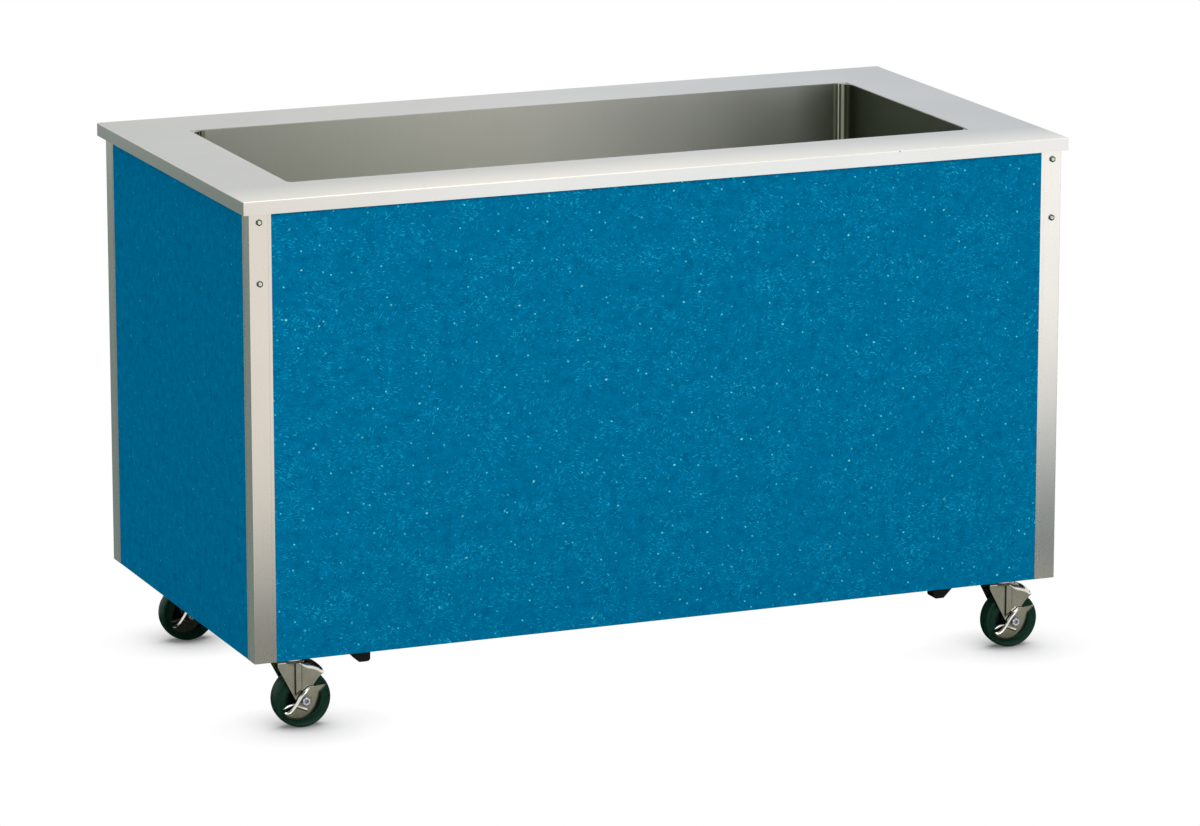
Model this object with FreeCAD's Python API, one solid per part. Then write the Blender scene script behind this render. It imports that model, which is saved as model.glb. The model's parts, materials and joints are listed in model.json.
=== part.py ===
import FreeCAD, Part
import math
import os

# Mobile salad bar: a stainless top with a deep ice well, on a panelled cart with four
# braked swivel casters.  Millimetres.  The origin is on the floor under the middle of
# the top, +X runs to the right along the front, +Z is up, and the front faces -Y.

V = FreeCAD.Vector
X_AXIS = V(1, 0, 0)
Y_AXIS = V(0, 1, 0)
Z_AXIS = V(0, 0, 1)

# Worktop
TOP_LENGTH = 1524.0       # along X
TOP_DEPTH = 787.4         # along Y
TOP_HEIGHT = 925.0        # floor to the top face
TOP_SHEET = 1.6
EDGE_DEPTH = 23.0         # height of the turned-down edge
BEND_RADIUS = 1.5         # outside radius of the folds
END_OVERHANG = 11.0       # top past the end panels
FRONT_OVERHANG = 5.5      # top past the front panel
BACK_OVERHANG = 15.0      # top past the rear posts
EDGE_GAP = 0.5            # between the edge's hem and the front panel

# Ice well
RIM_END = 127.0           # top's ends to the cut-out
RIM_SIDE = 136.7          # top's front and back to the cut-out
WELL_DEPTH = 205.0        # top face to the well's floor
CUTOUT_RADIUS = 4.0       # corners of the cut-out in the top
WELL_CORNER = 28.0        # upright inside corners of the liner
LINER_SHEET = 1.5
LINER_FLANGE = 14.0       # liner's rim under the top
INSULATION = 25.0
JACKET_SHEET = 1.0
SHELL_GAP = 0.2           # insulation to the sheets on both sides

# Posts and panels
POST_FACE = 39.0          # post's width along X
POST_SIDE_FRONT = 34.5    # front posts' width along Y
POST_SIDE_REAR = 41.0     # rear posts' width along Y
POST_SHEET = 1.5
POST_RETURN = 16.0        # lip turned into the cart
POST_LIP = 6.2            # strip beside the panel, past the groove
GROOVE = 0.8              # width and depth of the groove
PANEL = 13.0              # panel thickness
PANEL_EDGE = 0.8          # radius of the panel's edges
PLATE_RECESS = 5.0        # lower edge of the body below the casters' mounting face

# Upper frame
RAIL_SHEET = 2.0
RAIL_HEIGHT = 45.0
RAIL_FLANGE = 25.0
APRON_DROP = 90.0         # rear apron below the top's edge
APRON_RETURN = 15.0
BRACKET_SHEET = 3.0
BRACKET_DROP = 172.0      # top face to the bracket's foot
POST_BOLT_INSET = 17.8    # bolt axis from the post's outer corner
UPPER_BOLT_DROP = 37.0    # bolt axis below the top face
LOWER_BOLT_DROP = 141.0
POST_BOLT_RADIUS = 3.0
POST_BOLT_HEAD = 5.8      # half the head's width across flats
POST_BOLT_HEAD_HEIGHT = 3.8
POST_NUT_HEIGHT = 5.0
HOLE_CLEARANCE = 0.1      # radial, bolts in their holes

# Base
SHELF_SHEET = 1.5
SHELF_FLANGE = 31.5       # shelf's turned-down edge, below the sheet
CASTER_RAIL_SHEET = 3.0
CASTER_RAIL_WIDTH = 100.0
CASTER_RAIL_HEIGHT = 30.5
STIFFENER_WIDTH = 60.0
STIFFENER_HEIGHT = 25.0
BLOCK_INSET = 170.0       # base blocks: outer end from the ends of the body
BLOCK_LENGTH = 50.0
BLOCK_THICK = 26.0
BLOCK_SETBACK = 22.0      # behind the front panel
BLOCK_DROP = 26.0         # below the body's lower edge
BLOCK_SLOPE = 30.0        # slanted outer corner, along X
BLOCK_ROUND = 6.0         # rounded inner corner

# Casters
CASTER_HEIGHT = 136.0     # floor to the mounting face
CASTER_END_INSET = 92.5   # swivel axis from the ends of the top
CASTER_FRONT_INSET = 55.0   # swivel axis from the front of the top
CASTER_BACK_INSET = 131.0   # swivel axis from the back of the top
TRAIL = 16.5              # axle behind the swivel axis
WHEEL_RADIUS = 50.8
TREAD_WIDTH = 30.0
TREAD_ROUND = 5.0
HUB_RADIUS = 31.0
HUB_WEB = 14.0            # thickness of the hub between its rim and its boss
HUB_RIM = 4.0
HUB_RIM_INSET = 1.0       # hub's rim inside the tyre's faces
HUB_DRAFT = 2.0           # slope of the rim's and the boss's sides
HUB_BOSS = 12.0           # radius
HUB_BOSS_LENGTH = 35.0
PLATE_LENGTH = 92.0
PLATE_WIDTH = 62.0
PLATE_SHEET = 3.0
PLATE_CORNER = 6.0
PLATE_HOLES_X = 73.0
PLATE_HOLES_Y = 44.5
CASTER_BOLT_RADIUS = 4.0
CASTER_BOLT_HEAD = 6.5    # half across flats
CASTER_BOLT_HEAD_HEIGHT = 5.0
KINGPIN_RADIUS = 6.0
KINGPIN_HEAD = 10.0
KINGPIN_HEAD_HEIGHT = 2.6
RACE_RADIUS = 18.0        # circle of the ball centres
RACE_OUTER = 24.0
RACE_INNER = 11.0
BALL_RADIUS = 3.0
BALL_COUNT = 14
BALL_CLEARANCE = 0.15
RACE_GAP = 2.0            # between the two races
CROWN_TOP_DROP = 18.0     # mounting face to the top of the fork's crown
FORK_SHEET = 3.0
FORK_INSIDE = 36.0        # between the legs
FORK_LEFT = 30.5          # leading edge of the crown from the swivel axis
FORK_RIGHT = 52.0         # trailing edge of the skirt
SKIRT_START = 30.0        # where the crown turns down
SKIRT_DROP = 19.0
LEG_END_RADIUS = 13.0
RIB_START = 1.0           # rib on the legs, along X from the swivel axis
RIB_WIDTH = 13.0
RIB_RAISE = 2.0
RIB_ROUND = 1.8           # radius of the rib's long edges
RIB_FOOT = 14.0           # rib's lower end above the axle
AXLE_RADIUS = 6.0
AXLE_HEAD = 7.2           # half across flats
AXLE_HEAD_HEIGHT = 5.5
AXLE_TIP_RADIUS = 4.2     # thread's end past the nut
AXLE_TIP = 2.0
RUNNING_CLEARANCE = 0.05  # radial, turning fits
SIDE_CLEARANCE = 0.3      # endwise, turning fits
LEVER_SHEET = 2.5
LEVER_BOSS = 9.5
LEVER_FOLD = 8.0          # height of the raised fold
LEVER_FOLD_SHIFT = (2.0, -1.2)    # across the fold's thickness
# the lever's outline, across and up from the axle
LEVER_TOE = (40.0, 26.0)          # foot tab at the upper right
LEVER_TOE_ROOT = (25.0, 12.5)
LEVER_BELLY = [(21.0, -3.0), (8.0, -23.0), (-9.0, -31.0), (-28.0, -28.0)]
LEVER_HEEL = (-40.0, -17.0)       # lower-left tip
LEVER_FOLD_LINE = [(-28.0, -16.5), (-17.0, -2.0), (-5.0, 13.0), (7.0, 24.0)]

# Drain
DRAIN_X = 380.0
DRAIN_Y = 150.0
DRAIN_FLANGE_RADIUS = 32.0
DRAIN_FLANGE_HEIGHT = 4.0
DRAIN_BARREL = 21.0       # outside radius
DRAIN_BORE = 13.5
DRAIN_BARREL_END = 22.0   # below the jacket
STRAINER_RADIUS = 25.5
STRAINER_SHEET = 1.5
STRAINER_HOLE = 2.5
STRAINER_RINGS = 2
STRAINER_PITCH = 7.5      # between rings of holes
LOCKNUT_FLATS = 28.0      # half across flats
LOCKNUT_HEIGHT = 8.0
PIPE_RADIUS = 16.7
PIPE_LENGTH = 50.0
SOCKET_DEPTH = 12.0       # pipe's end inside the valve
VALVE_RADIUS = 24.0
VALVE_HEIGHT = 66.0
VALVE_BALL = 18.0
VALVE_BALL_BORE = 12.0
VALVE_ROUND = 2.0         # radius of the housing's end edges
VALVE_FLATS = 25.0        # half across the flats of the housing's hexagonal end
VALVE_FLATS_HEIGHT = 16.5
VALVE_NECK = 10.0         # radius of the stem's housing
VALVE_NECK_REACH = 33.0
STEM_RADIUS = 5.0
STEM_REACH = 46.0
STEM_ROOT = 4.0           # stem's root below the ball's surface
SPIGOT_RADIUS = 14.0
SPIGOT_BORE = 10.5
SPIGOT_LENGTH = 34.0
HANDLE_LENGTH = 118.0
HANDLE_WIDTH = 20.0
HANDLE_SHEET = 3.0
GRIP_LENGTH = 74.0
GRIP_WALL = 2.5
HANDLE_NUT = 7.0          # half across flats
HANDLE_NUT_HEIGHT = 4.5

# Places worked out from the sizes above
HALF_X = TOP_LENGTH / 2
HALF_Y = TOP_DEPTH / 2
TOP_UNDER = TOP_HEIGHT - TOP_SHEET
EDGE_BOTTOM = TOP_HEIGHT - EDGE_DEPTH
BODY_X = HALF_X - END_OVERHANG
BODY_FRONT = -HALF_Y + FRONT_OVERHANG
BODY_BACK = HALF_Y - BACK_OVERHANG
BODY_BOTTOM = CASTER_HEIGHT - PLATE_RECESS
WELL_LENGTH = TOP_LENGTH - 2 * RIM_END
WELL_WIDTH = TOP_DEPTH - 2 * RIM_SIDE
WELL_FLOOR = TOP_HEIGHT - WELL_DEPTH
LINER_BOTTOM = WELL_FLOOR - LINER_SHEET
JACKET_INSIDE = LINER_SHEET + INSULATION
JACKET_BOTTOM = WELL_FLOOR - JACKET_INSIDE - JACKET_SHEET
SHELF_UNDER = CASTER_HEIGHT + CASTER_RAIL_HEIGHT
SHELF_TOP = SHELF_UNDER + SHELF_SHEET
CORNERS = {
    "front_left": (-1, -1),
    "front_right": (1, -1),
    "rear_left": (-1, 1),
    "rear_right": (1, 1),
}


def box(x0, x1, y0, y1, z0, z1):
    """A box between two planes along each axis."""
    return Part.makeBox(x1 - x0, y1 - y0, z1 - z0, V(x0, y0, z0))


def rod(radius, start, length, axis):
    """A round bar from a point along an axis."""
    return Part.makeCylinder(radius, length, start, axis)


def hexagon(half_flats, start, length, axis):
    """A hexagonal prism from a point along Y or Z, with two flats square to X."""
    corner = half_flats / math.cos(math.radians(30))
    points = []
    for step in range(7):
        angle = math.radians(30 + 60 * step)
        across = corner * math.cos(angle)
        along = corner * math.sin(angle)
        if axis.z:
            points.append(start + V(across, along, 0))
        else:
            points.append(start + V(across, 0, along))
    return Part.Face(Part.makePolygon(points)).extrude(axis * length)


def edges_along(shape, axis):
    """The straight edges of a shape that run along an axis."""
    found = []
    for edge in shape.Edges:
        run = edge.Vertexes[-1].Point - edge.Vertexes[0].Point
        if run.Length > 0 and abs(run.normalize().dot(axis)) > 0.999:
            found.append(edge)
    return found


def edges_at_height(shape, height):
    """The edges of a shape that lie in one level plane."""
    found = []
    for edge in shape.Edges:
        bounds = edge.BoundBox
        if abs(bounds.ZMin - height) < 0.001 and abs(bounds.ZMax - height) < 0.001:
            found.append(edge)
    return found


def save(name, shape):
    """Write one node's STEP file."""
    shape.exportStep("parts/" + name + ".step")


def corner_box(corner, u0, u1, v0, v1, z0, z1):
    """A box measured inwards from a body corner: u along X, v along Y."""
    side, end = corner
    x0, x1 = sorted((side * (BODY_X - u0), side * (BODY_X - u1)))
    face = outer_face(corner)
    y0, y1 = sorted((face - end * v0, face - end * v1))
    return box(x0, x1, y0, y1, z0, z1)


def post_side(corner):
    """Width along Y of the post at a corner."""
    return POST_SIDE_FRONT if corner[1] < 0 else POST_SIDE_REAR


def outer_face(corner):
    """Y of the body's front or rear face at a corner."""
    return BODY_FRONT if corner[1] < 0 else BODY_BACK


# Worktop and well

def sheets_in(shape, regions):
    """The sheets of a welded piece, one or more in each region."""
    return [sheet for region in regions for sheet in shape.common(region).Solids]


def worktop():
    """Folded borders round the cut-out, with their seams ground flush."""
    top = box(-HALF_X, HALF_X, -HALF_Y, HALF_Y, EDGE_BOTTOM, TOP_HEIGHT)
    folds = edges_along(top, Z_AXIS) + edges_at_height(top, TOP_HEIGHT)
    top = top.makeFillet(BEND_RADIUS, folds)
    s = TOP_SHEET
    hem = FRONT_OVERHANG - EDGE_GAP
    top = top.cut(box(-HALF_X + s, HALF_X - s, -HALF_Y + s, HALF_Y - s, EDGE_BOTTOM + s, TOP_UNDER))
    top = top.cut(box(-HALF_X + hem, HALF_X - hem, -HALF_Y + hem, HALF_Y - hem, EDGE_BOTTOM, TOP_UNDER))
    half_l = WELL_LENGTH / 2
    half_w = WELL_WIDTH / 2
    cutout = box(-half_l, half_l, -half_w, half_w, TOP_UNDER, TOP_HEIGHT)
    cutout = cutout.makeFillet(CUTOUT_RADIUS, edges_along(cutout, Z_AXIS))
    seam = half_l - 2 * CUTOUT_RADIUS
    spans = [(-HALF_X, -seam, -HALF_Y, HALF_Y), (seam, HALF_X, -HALF_Y, HALF_Y),
             (-seam, seam, -HALF_Y, 0), (-seam, seam, 0, HALF_Y)]
    return sheets_in(top.cut(cutout), [box(*span, EDGE_BOTTOM, TOP_HEIGHT) for span in spans])


def tub(offset, top):
    """The well's block grown outwards by an offset, up to a level."""
    half_l = WELL_LENGTH / 2 + offset
    half_w = WELL_WIDTH / 2 + offset
    block = box(-half_l, half_l, -half_w, half_w, WELL_FLOOR - offset, top)
    return block.makeFillet(WELL_CORNER + offset, edges_along(block, Z_AXIS))


def tub_sheets(shell, floor):
    """A tub's flat floor, and four walls on it that meet down the middle of each corner."""
    bounds = shell.BoundBox
    ridge = (WELL_LENGTH - WELL_WIDTH) / 2
    reach = bounds.YMax + 1
    far = ridge + reach
    plans = [[(-ridge, 0), (-far, reach), (-far, -reach)],
             [(ridge, 0), (far, -reach), (far, reach)],
             [(-ridge, 0), (-far, -reach), (far, -reach), (ridge, 0)],
             [(ridge, 0), (far, reach), (-far, reach), (-ridge, 0)]]
    regions = [box(-far, far, -reach, reach, bounds.ZMin, floor)]
    for plan in plans:
        outline = Part.makePolygon([V(x, y, floor) for x, y in plan + plan[:1]])
        regions.append(Part.Face(outline).extrude(Z_AXIS * (bounds.ZMax - floor)))
    return sheets_in(shell, regions)


def drain_hole(bottom, top):
    """Room for the drain's barrel through the well's floor."""
    return rod(DRAIN_BARREL + HOLE_CLEARANCE, V(DRAIN_X, DRAIN_Y, bottom), top - bottom, Z_AXIS)


def well_liner():
    """Walls with rounded corners and a rim under the top, welded on a flat floor."""
    reach = LINER_SHEET + LINER_FLANGE
    half_l = WELL_LENGTH / 2 + reach
    half_w = WELL_WIDTH / 2 + reach
    rim = box(-half_l, half_l, -half_w, half_w, TOP_UNDER - LINER_SHEET, TOP_UNDER)
    rim = rim.makeFillet(WELL_CORNER, edges_along(rim, Z_AXIS))
    shell = tub(LINER_SHEET, TOP_UNDER).fuse(rim).cut(tub(0, TOP_UNDER))
    return tub_sheets(shell.cut(drain_hole(LINER_BOTTOM, WELL_FLOOR)).removeSplitter(), WELL_FLOOR)


def well_insulation():
    top = TOP_UNDER - LINER_SHEET - SHELL_GAP
    foam = tub(JACKET_INSIDE - SHELL_GAP, top).cut(tub(LINER_SHEET + SHELL_GAP, top))
    return foam.cut(drain_hole(JACKET_BOTTOM, WELL_FLOOR))


def well_jacket():
    """Outer casing of the foam, welded like the liner."""
    casing = tub(JACKET_INSIDE + JACKET_SHEET, TOP_UNDER).cut(tub(JACKET_INSIDE, TOP_UNDER))
    floor = JACKET_BOTTOM + JACKET_SHEET
    return tub_sheets(casing.cut(drain_hole(JACKET_BOTTOM, WELL_FLOOR)), floor)


# Posts, panels and upper frame

def post(corner):
    """Folded sheet post: two faces, a lip turned in at each edge, and a groove by each lip."""
    s = POST_SHEET
    side = post_side(corner)
    z0, z1 = BODY_BOTTOM, TOP_UNDER
    shape = corner_box(corner, 0, POST_FACE, 0, side, z0, z1)
    outer = [e for e in edges_along(shape, Z_AXIS)
             if abs(e.BoundBox.Center.y - outer_face(corner)) < 0.001
             and abs(abs(e.BoundBox.Center.x) - BODY_X) < 0.001]
    shape = shape.makeFillet(BEND_RADIUS, outer)
    shape = shape.cut(corner_box(corner, s, POST_FACE - s, s, side - s, z0, z1))
    shape = shape.cut(corner_box(corner, POST_RETURN, POST_FACE, POST_RETURN, side, z0, z1))
    groove_u = POST_FACE - POST_LIP
    groove_v = side - POST_LIP
    shape = shape.cut(corner_box(corner, groove_u, groove_u + GROOVE, 0, GROOVE, z0, z1))
    shape = shape.cut(corner_box(corner, 0, GROOVE, groove_v, groove_v + GROOVE, z0, z1))
    for drop in (UPPER_BOLT_DROP, LOWER_BOLT_DROP):
        shape = shape.cut(post_bolt_hole(corner, drop))
    return shape


def post_bolt_axis(corner, drop):
    """Point on the post's outer face where a bolt goes in."""
    return V(corner[0] * (BODY_X - POST_BOLT_INSET), outer_face(corner), TOP_HEIGHT - drop)


def post_bolt_hole(corner, drop):
    inwards = Y_AXIS * -corner[1]
    depth = POST_SHEET + BRACKET_SHEET
    return rod(POST_BOLT_RADIUS + HOLE_CLEARANCE, post_bolt_axis(corner, drop), depth, inwards)


def corner_bracket(corner):
    """Angle bracket inside the post, hung from the top's underside."""
    s = POST_SHEET
    t = POST_SHEET + BRACKET_SHEET
    z0 = TOP_HEIGHT - BRACKET_DROP
    front = corner_box(corner, s, POST_FACE - s, s, t, z0, TOP_UNDER)
    end = corner_box(corner, s, t, s, post_side(corner) - s, z0, TOP_UNDER)
    shape = front.fuse(end)
    for drop in (UPPER_BOLT_DROP, LOWER_BOLT_DROP):
        shape = shape.cut(post_bolt_hole(corner, drop))
    return shape.removeSplitter()


def post_bolt(corner, drop):
    """Hex bolt through the post and its bracket, with its nut."""
    start = post_bolt_axis(corner, drop)
    inwards = Y_AXIS * -corner[1]
    grip = POST_SHEET + BRACKET_SHEET
    head = hexagon(POST_BOLT_HEAD, start, POST_BOLT_HEAD_HEIGHT, inwards * -1)
    shank = rod(POST_BOLT_RADIUS, start, grip + POST_NUT_HEIGHT, inwards)
    nut = hexagon(POST_BOLT_HEAD, start + inwards * grip, POST_NUT_HEIGHT, inwards)
    return head.fuse([shank, nut]).removeSplitter()


def panel(x0, x1, y0, y1):
    """Upright board with softened edges."""
    board = box(x0, x1, y0, y1, BODY_BOTTOM, TOP_UNDER)
    return board.makeFillet(PANEL_EDGE, edges_along(board, Z_AXIS) + edges_at_height(board, BODY_BOTTOM))


def front_panel():
    half = BODY_X - POST_FACE
    return panel(-half, half, BODY_FRONT, BODY_FRONT + PANEL)


def end_panel(side):
    x0, x1 = sorted((side * BODY_X, side * (BODY_X - PANEL)))
    return panel(x0, x1, BODY_FRONT + POST_SIDE_FRONT, BODY_BACK - POST_SIDE_REAR)


def front_top_rail():
    half = BODY_X - POST_FACE
    y = BODY_FRONT + PANEL
    web = box(-half, half, y, y + RAIL_SHEET, TOP_UNDER - RAIL_HEIGHT, TOP_UNDER)
    flange = box(-half, half, y, y + RAIL_FLANGE, TOP_UNDER - RAIL_SHEET, TOP_UNDER)
    return web.fuse(flange).removeSplitter()


def end_top_rail(side):
    y0 = BODY_FRONT + POST_SIDE_FRONT
    y1 = BODY_BACK - POST_SIDE_REAR
    outer = side * (BODY_X - PANEL)
    web_x = sorted((outer, outer - side * RAIL_SHEET))
    flange_x = sorted((outer, outer - side * RAIL_FLANGE))
    web = box(web_x[0], web_x[1], y0, y1, TOP_UNDER - RAIL_HEIGHT, TOP_UNDER)
    flange = box(flange_x[0], flange_x[1], y0, y1, TOP_UNDER - RAIL_SHEET, TOP_UNDER)
    return web.fuse(flange).removeSplitter()


def rear_apron():
    """Sheet across the open side under the top, turned in along both edges."""
    half = BODY_X - POST_FACE
    y = BODY_BACK
    z0 = EDGE_BOTTOM - APRON_DROP
    web = box(-half, half, y - RAIL_SHEET, y, z0, TOP_UNDER)
    upper = box(-half, half, y - RAIL_FLANGE, y, TOP_UNDER - RAIL_SHEET, TOP_UNDER)
    lower = box(-half, half, y - APRON_RETURN, y, z0, z0 + RAIL_SHEET)
    return web.fuse([upper, lower]).removeSplitter()


# Base

def bottom_shelf():
    """Sheet shelf with its edges turned down, notched round the posts."""
    s = SHELF_SHEET
    x = BODY_X - PANEL
    y0 = BODY_FRONT + PANEL
    z0 = SHELF_UNDER - SHELF_FLANGE
    tray = box(-x, x, y0, BODY_BACK, z0, SHELF_TOP)
    tray = tray.cut(box(-x + s, x - s, y0 + s, BODY_BACK - s, z0, SHELF_UNDER))
    for corner in CORNERS.values():
        tray = tray.cut(corner_box(corner, 0, POST_FACE, 0, post_side(corner), z0, SHELF_TOP))
    return tray


def caster_rail(side):
    """Channel under one end of the shelf that carries two casters."""
    x = side * (HALF_X - CASTER_END_INSET)
    half = CASTER_RAIL_WIDTH / 2
    s = CASTER_RAIL_SHEET
    y0 = BODY_FRONT + POST_RETURN + EDGE_GAP
    y1 = BODY_BACK - POST_RETURN - EDGE_GAP
    rail = box(x - half, x + half, y0, y1, CASTER_HEIGHT, SHELF_UNDER)
    rail = rail.cut(box(x - half + s, x + half - s, y0, y1, CASTER_HEIGHT + s, SHELF_UNDER))
    for end in (-1, 1):
        place = caster_place((side, end))
        rail = rail.cut(plate_holes(place, CASTER_HEIGHT, s))
    return rail


def shelf_stiffener():
    """Channel under the shelf between the two caster rails."""
    x = HALF_X - CASTER_END_INSET - CASTER_RAIL_WIDTH / 2
    half = STIFFENER_WIDTH / 2
    s = SHELF_SHEET
    z0 = SHELF_UNDER - STIFFENER_HEIGHT
    bar = box(-x, x, -half, half, z0, SHELF_UNDER)
    return bar.cut(box(-x, x, -half + s, half - s, z0 + s, SHELF_UNDER))


def base_block(side):
    """Moulded block under the shelf near its front edge, slanted on its outer side."""
    y = BODY_FRONT + PANEL + BLOCK_SETBACK
    outer = BODY_X - BLOCK_INSET
    inner = outer - BLOCK_LENGTH
    bottom = BODY_BOTTOM - BLOCK_DROP
    corners = [(inner, SHELF_UNDER), (outer, SHELF_UNDER), (outer, bottom + BLOCK_SLOPE),
               (outer - BLOCK_SLOPE, bottom), (inner, bottom), (inner, SHELF_UNDER)]
    outline = Part.makePolygon([V(side * x, y, z) for x, z in corners])
    block = Part.Face(outline).extrude(Y_AXIS * BLOCK_THICK)
    toe = [e for e in edges_along(block, Y_AXIS)
           if abs(e.BoundBox.Center.z - bottom) < 0.001 and abs(abs(e.BoundBox.Center.x) - inner) < 0.001]
    return block.makeFillet(BLOCK_ROUND, toe)


# Casters: each is built round its swivel axis and moved into place

def caster_place(corner):
    """Point on the floor under a caster's swivel axis."""
    x = corner[0] * (HALF_X - CASTER_END_INSET)
    if corner[1] < 0:
        return V(x, -HALF_Y + CASTER_FRONT_INSET, 0)
    return V(x, HALF_Y - CASTER_BACK_INSET, 0)


def plate_holes(place, bottom, depth):
    """The four bolt holes of a caster's top plate."""
    holes = []
    for side_x in (-0.5, 0.5):
        for side_y in (-0.5, 0.5):
            start = place + V(side_x * PLATE_HOLES_X, side_y * PLATE_HOLES_Y, bottom)
            holes.append(rod(CASTER_BOLT_RADIUS + HOLE_CLEARANCE, start, depth, Z_AXIS))
    return Part.makeCompound(holes)


PLATE_BOTTOM = CASTER_HEIGHT - PLATE_SHEET
CROWN_TOP = CASTER_HEIGHT - CROWN_TOP_DROP
BALL_HEIGHT = (PLATE_BOTTOM + CROWN_TOP) / 2
AXLE = V(TRAIL, 0, WHEEL_RADIUS)
LEG_OUTSIDE = FORK_INSIDE / 2 + FORK_SHEET
LEVER_BACK = LEG_OUTSIDE + RIB_RAISE + 2 * SIDE_CLEARANCE
LEVER_FRONT = LEVER_BACK + LEVER_SHEET


def ball_groove():
    """Round track that the balls run in."""
    return Part.makeTorus(RACE_RADIUS, BALL_RADIUS + BALL_CLEARANCE, V(0, 0, BALL_HEIGHT), Z_AXIS)


def race_ring(bottom, top):
    """Ring of a ball race, with its half of the track."""
    ring = rod(RACE_OUTER, V(0, 0, bottom), top - bottom, Z_AXIS)
    ring = ring.cut(rod(RACE_INNER, V(0, 0, bottom), top - bottom, Z_AXIS))
    return ring.cut(ball_groove())


def top_plate():
    half_l = PLATE_LENGTH / 2
    half_w = PLATE_WIDTH / 2
    plate = box(-half_l, half_l, -half_w, half_w, PLATE_BOTTOM, CASTER_HEIGHT)
    plate = plate.makeFillet(PLATE_CORNER, edges_along(plate, Z_AXIS))
    plate = plate.fuse(race_ring(BALL_HEIGHT + RACE_GAP / 2, PLATE_BOTTOM))
    plate = plate.cut(plate_holes(V(0, 0, 0), PLATE_BOTTOM, PLATE_SHEET))
    hole = rod(KINGPIN_RADIUS + RUNNING_CLEARANCE, V(0, 0, PLATE_BOTTOM), PLATE_SHEET, Z_AXIS)
    return plate.cut(hole).removeSplitter()


def kingpin():
    """Pin down through the top plate and the crown, with a head under the crown."""
    head_top = CROWN_TOP - FORK_SHEET - SIDE_CLEARANCE
    pin = rod(KINGPIN_RADIUS, V(0, 0, head_top), CASTER_HEIGHT - head_top, Z_AXIS)
    head = rod(KINGPIN_HEAD, V(0, 0, head_top - KINGPIN_HEAD_HEIGHT), KINGPIN_HEAD_HEIGHT, Z_AXIS)
    return pin.fuse(head).removeSplitter()


def swivel_balls():
    balls = []
    for step in range(BALL_COUNT):
        angle = 2 * math.pi * step / BALL_COUNT
        centre = V(RACE_RADIUS * math.cos(angle), RACE_RADIUS * math.sin(angle), BALL_HEIGHT)
        balls.append(Part.makeSphere(BALL_RADIUS, centre))
    return balls


def caster_bolt(place, side_x, side_y):
    """Hex bolt up through the plate and the rail, with its nut inside the rail."""
    centre = place + V(side_x * PLATE_HOLES_X / 2, side_y * PLATE_HOLES_Y / 2, 0)
    grip = PLATE_SHEET + CASTER_RAIL_SHEET
    start = centre + Z_AXIS * PLATE_BOTTOM
    head = hexagon(CASTER_BOLT_HEAD, start, CASTER_BOLT_HEAD_HEIGHT, Z_AXIS * -1)
    shank = rod(CASTER_BOLT_RADIUS, start, grip + CASTER_BOLT_HEAD_HEIGHT, Z_AXIS)
    nut = hexagon(CASTER_BOLT_HEAD, start + Z_AXIS * grip, CASTER_BOLT_HEAD_HEIGHT, Z_AXIS)
    return head.fuse([shank, nut]).removeSplitter()


def fork_leg(side):
    """V-shaped leg from the crown down to the axle, with a pressed rib."""
    y = side * FORK_INSIDE / 2
    axle_z = WHEEL_RADIUS
    r = LEG_END_RADIUS
    skirt_z = CROWN_TOP - SKIRT_DROP
    corners = [(-FORK_LEFT, CROWN_TOP), (TRAIL - r, axle_z), (TRAIL + r, axle_z),
               (FORK_RIGHT, skirt_z), (SKIRT_START, CROWN_TOP), (-FORK_LEFT, CROWN_TOP)]
    outline = Part.makePolygon([V(x, y, z) for x, z in corners])
    outwards = Y_AXIS * side
    leg = Part.Face(outline).extrude(outwards * FORK_SHEET)
    leg = leg.fuse(rod(r, V(TRAIL, y, axle_z), FORK_SHEET, outwards))
    rib_y = sorted((y, side * (LEG_OUTSIDE + RIB_RAISE)))
    rib = box(RIB_START, RIB_START + RIB_WIDTH, rib_y[0], rib_y[1], axle_z + RIB_FOOT, CROWN_TOP)
    ridges = [e for e in edges_along(rib, Z_AXIS) if abs(e.BoundBox.Center.y) > LEG_OUTSIDE]
    return leg.fuse(rib.makeFillet(RIB_ROUND, ridges))


def fork():
    """Crown with the lower race, two legs and a skirt sloping down over the wheel."""
    t = FORK_SHEET
    crown = box(-FORK_LEFT, SKIRT_START, -LEG_OUTSIDE, LEG_OUTSIDE, CROWN_TOP - t, CROWN_TOP)
    disc = rod(RACE_OUTER + t, V(0, 0, CROWN_TOP - t), t, Z_AXIS)
    skirt_z = CROWN_TOP - SKIRT_DROP
    slope = [(SKIRT_START, CROWN_TOP), (FORK_RIGHT, skirt_z), (FORK_RIGHT - t, skirt_z - t / 2),
             (SKIRT_START - t, CROWN_TOP - t), (SKIRT_START, CROWN_TOP)]
    outline = Part.makePolygon([V(x, -LEG_OUTSIDE, z) for x, z in slope])
    skirt = Part.Face(outline).extrude(Y_AXIS * (2 * LEG_OUTSIDE))
    race = race_ring(CROWN_TOP, BALL_HEIGHT - RACE_GAP / 2)
    shape = crown.fuse([disc, skirt, race, fork_leg(-1), fork_leg(1)])
    pin_hole = rod(KINGPIN_RADIUS + RUNNING_CLEARANCE, V(0, 0, CROWN_TOP - t), t, Z_AXIS)
    axle_hole = rod(AXLE_RADIUS + RUNNING_CLEARANCE, AXLE - Y_AXIS * LEG_OUTSIDE, 2 * LEG_OUTSIDE, Y_AXIS)
    return shape.cut(pin_hole).cut(axle_hole).removeSplitter()


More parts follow.
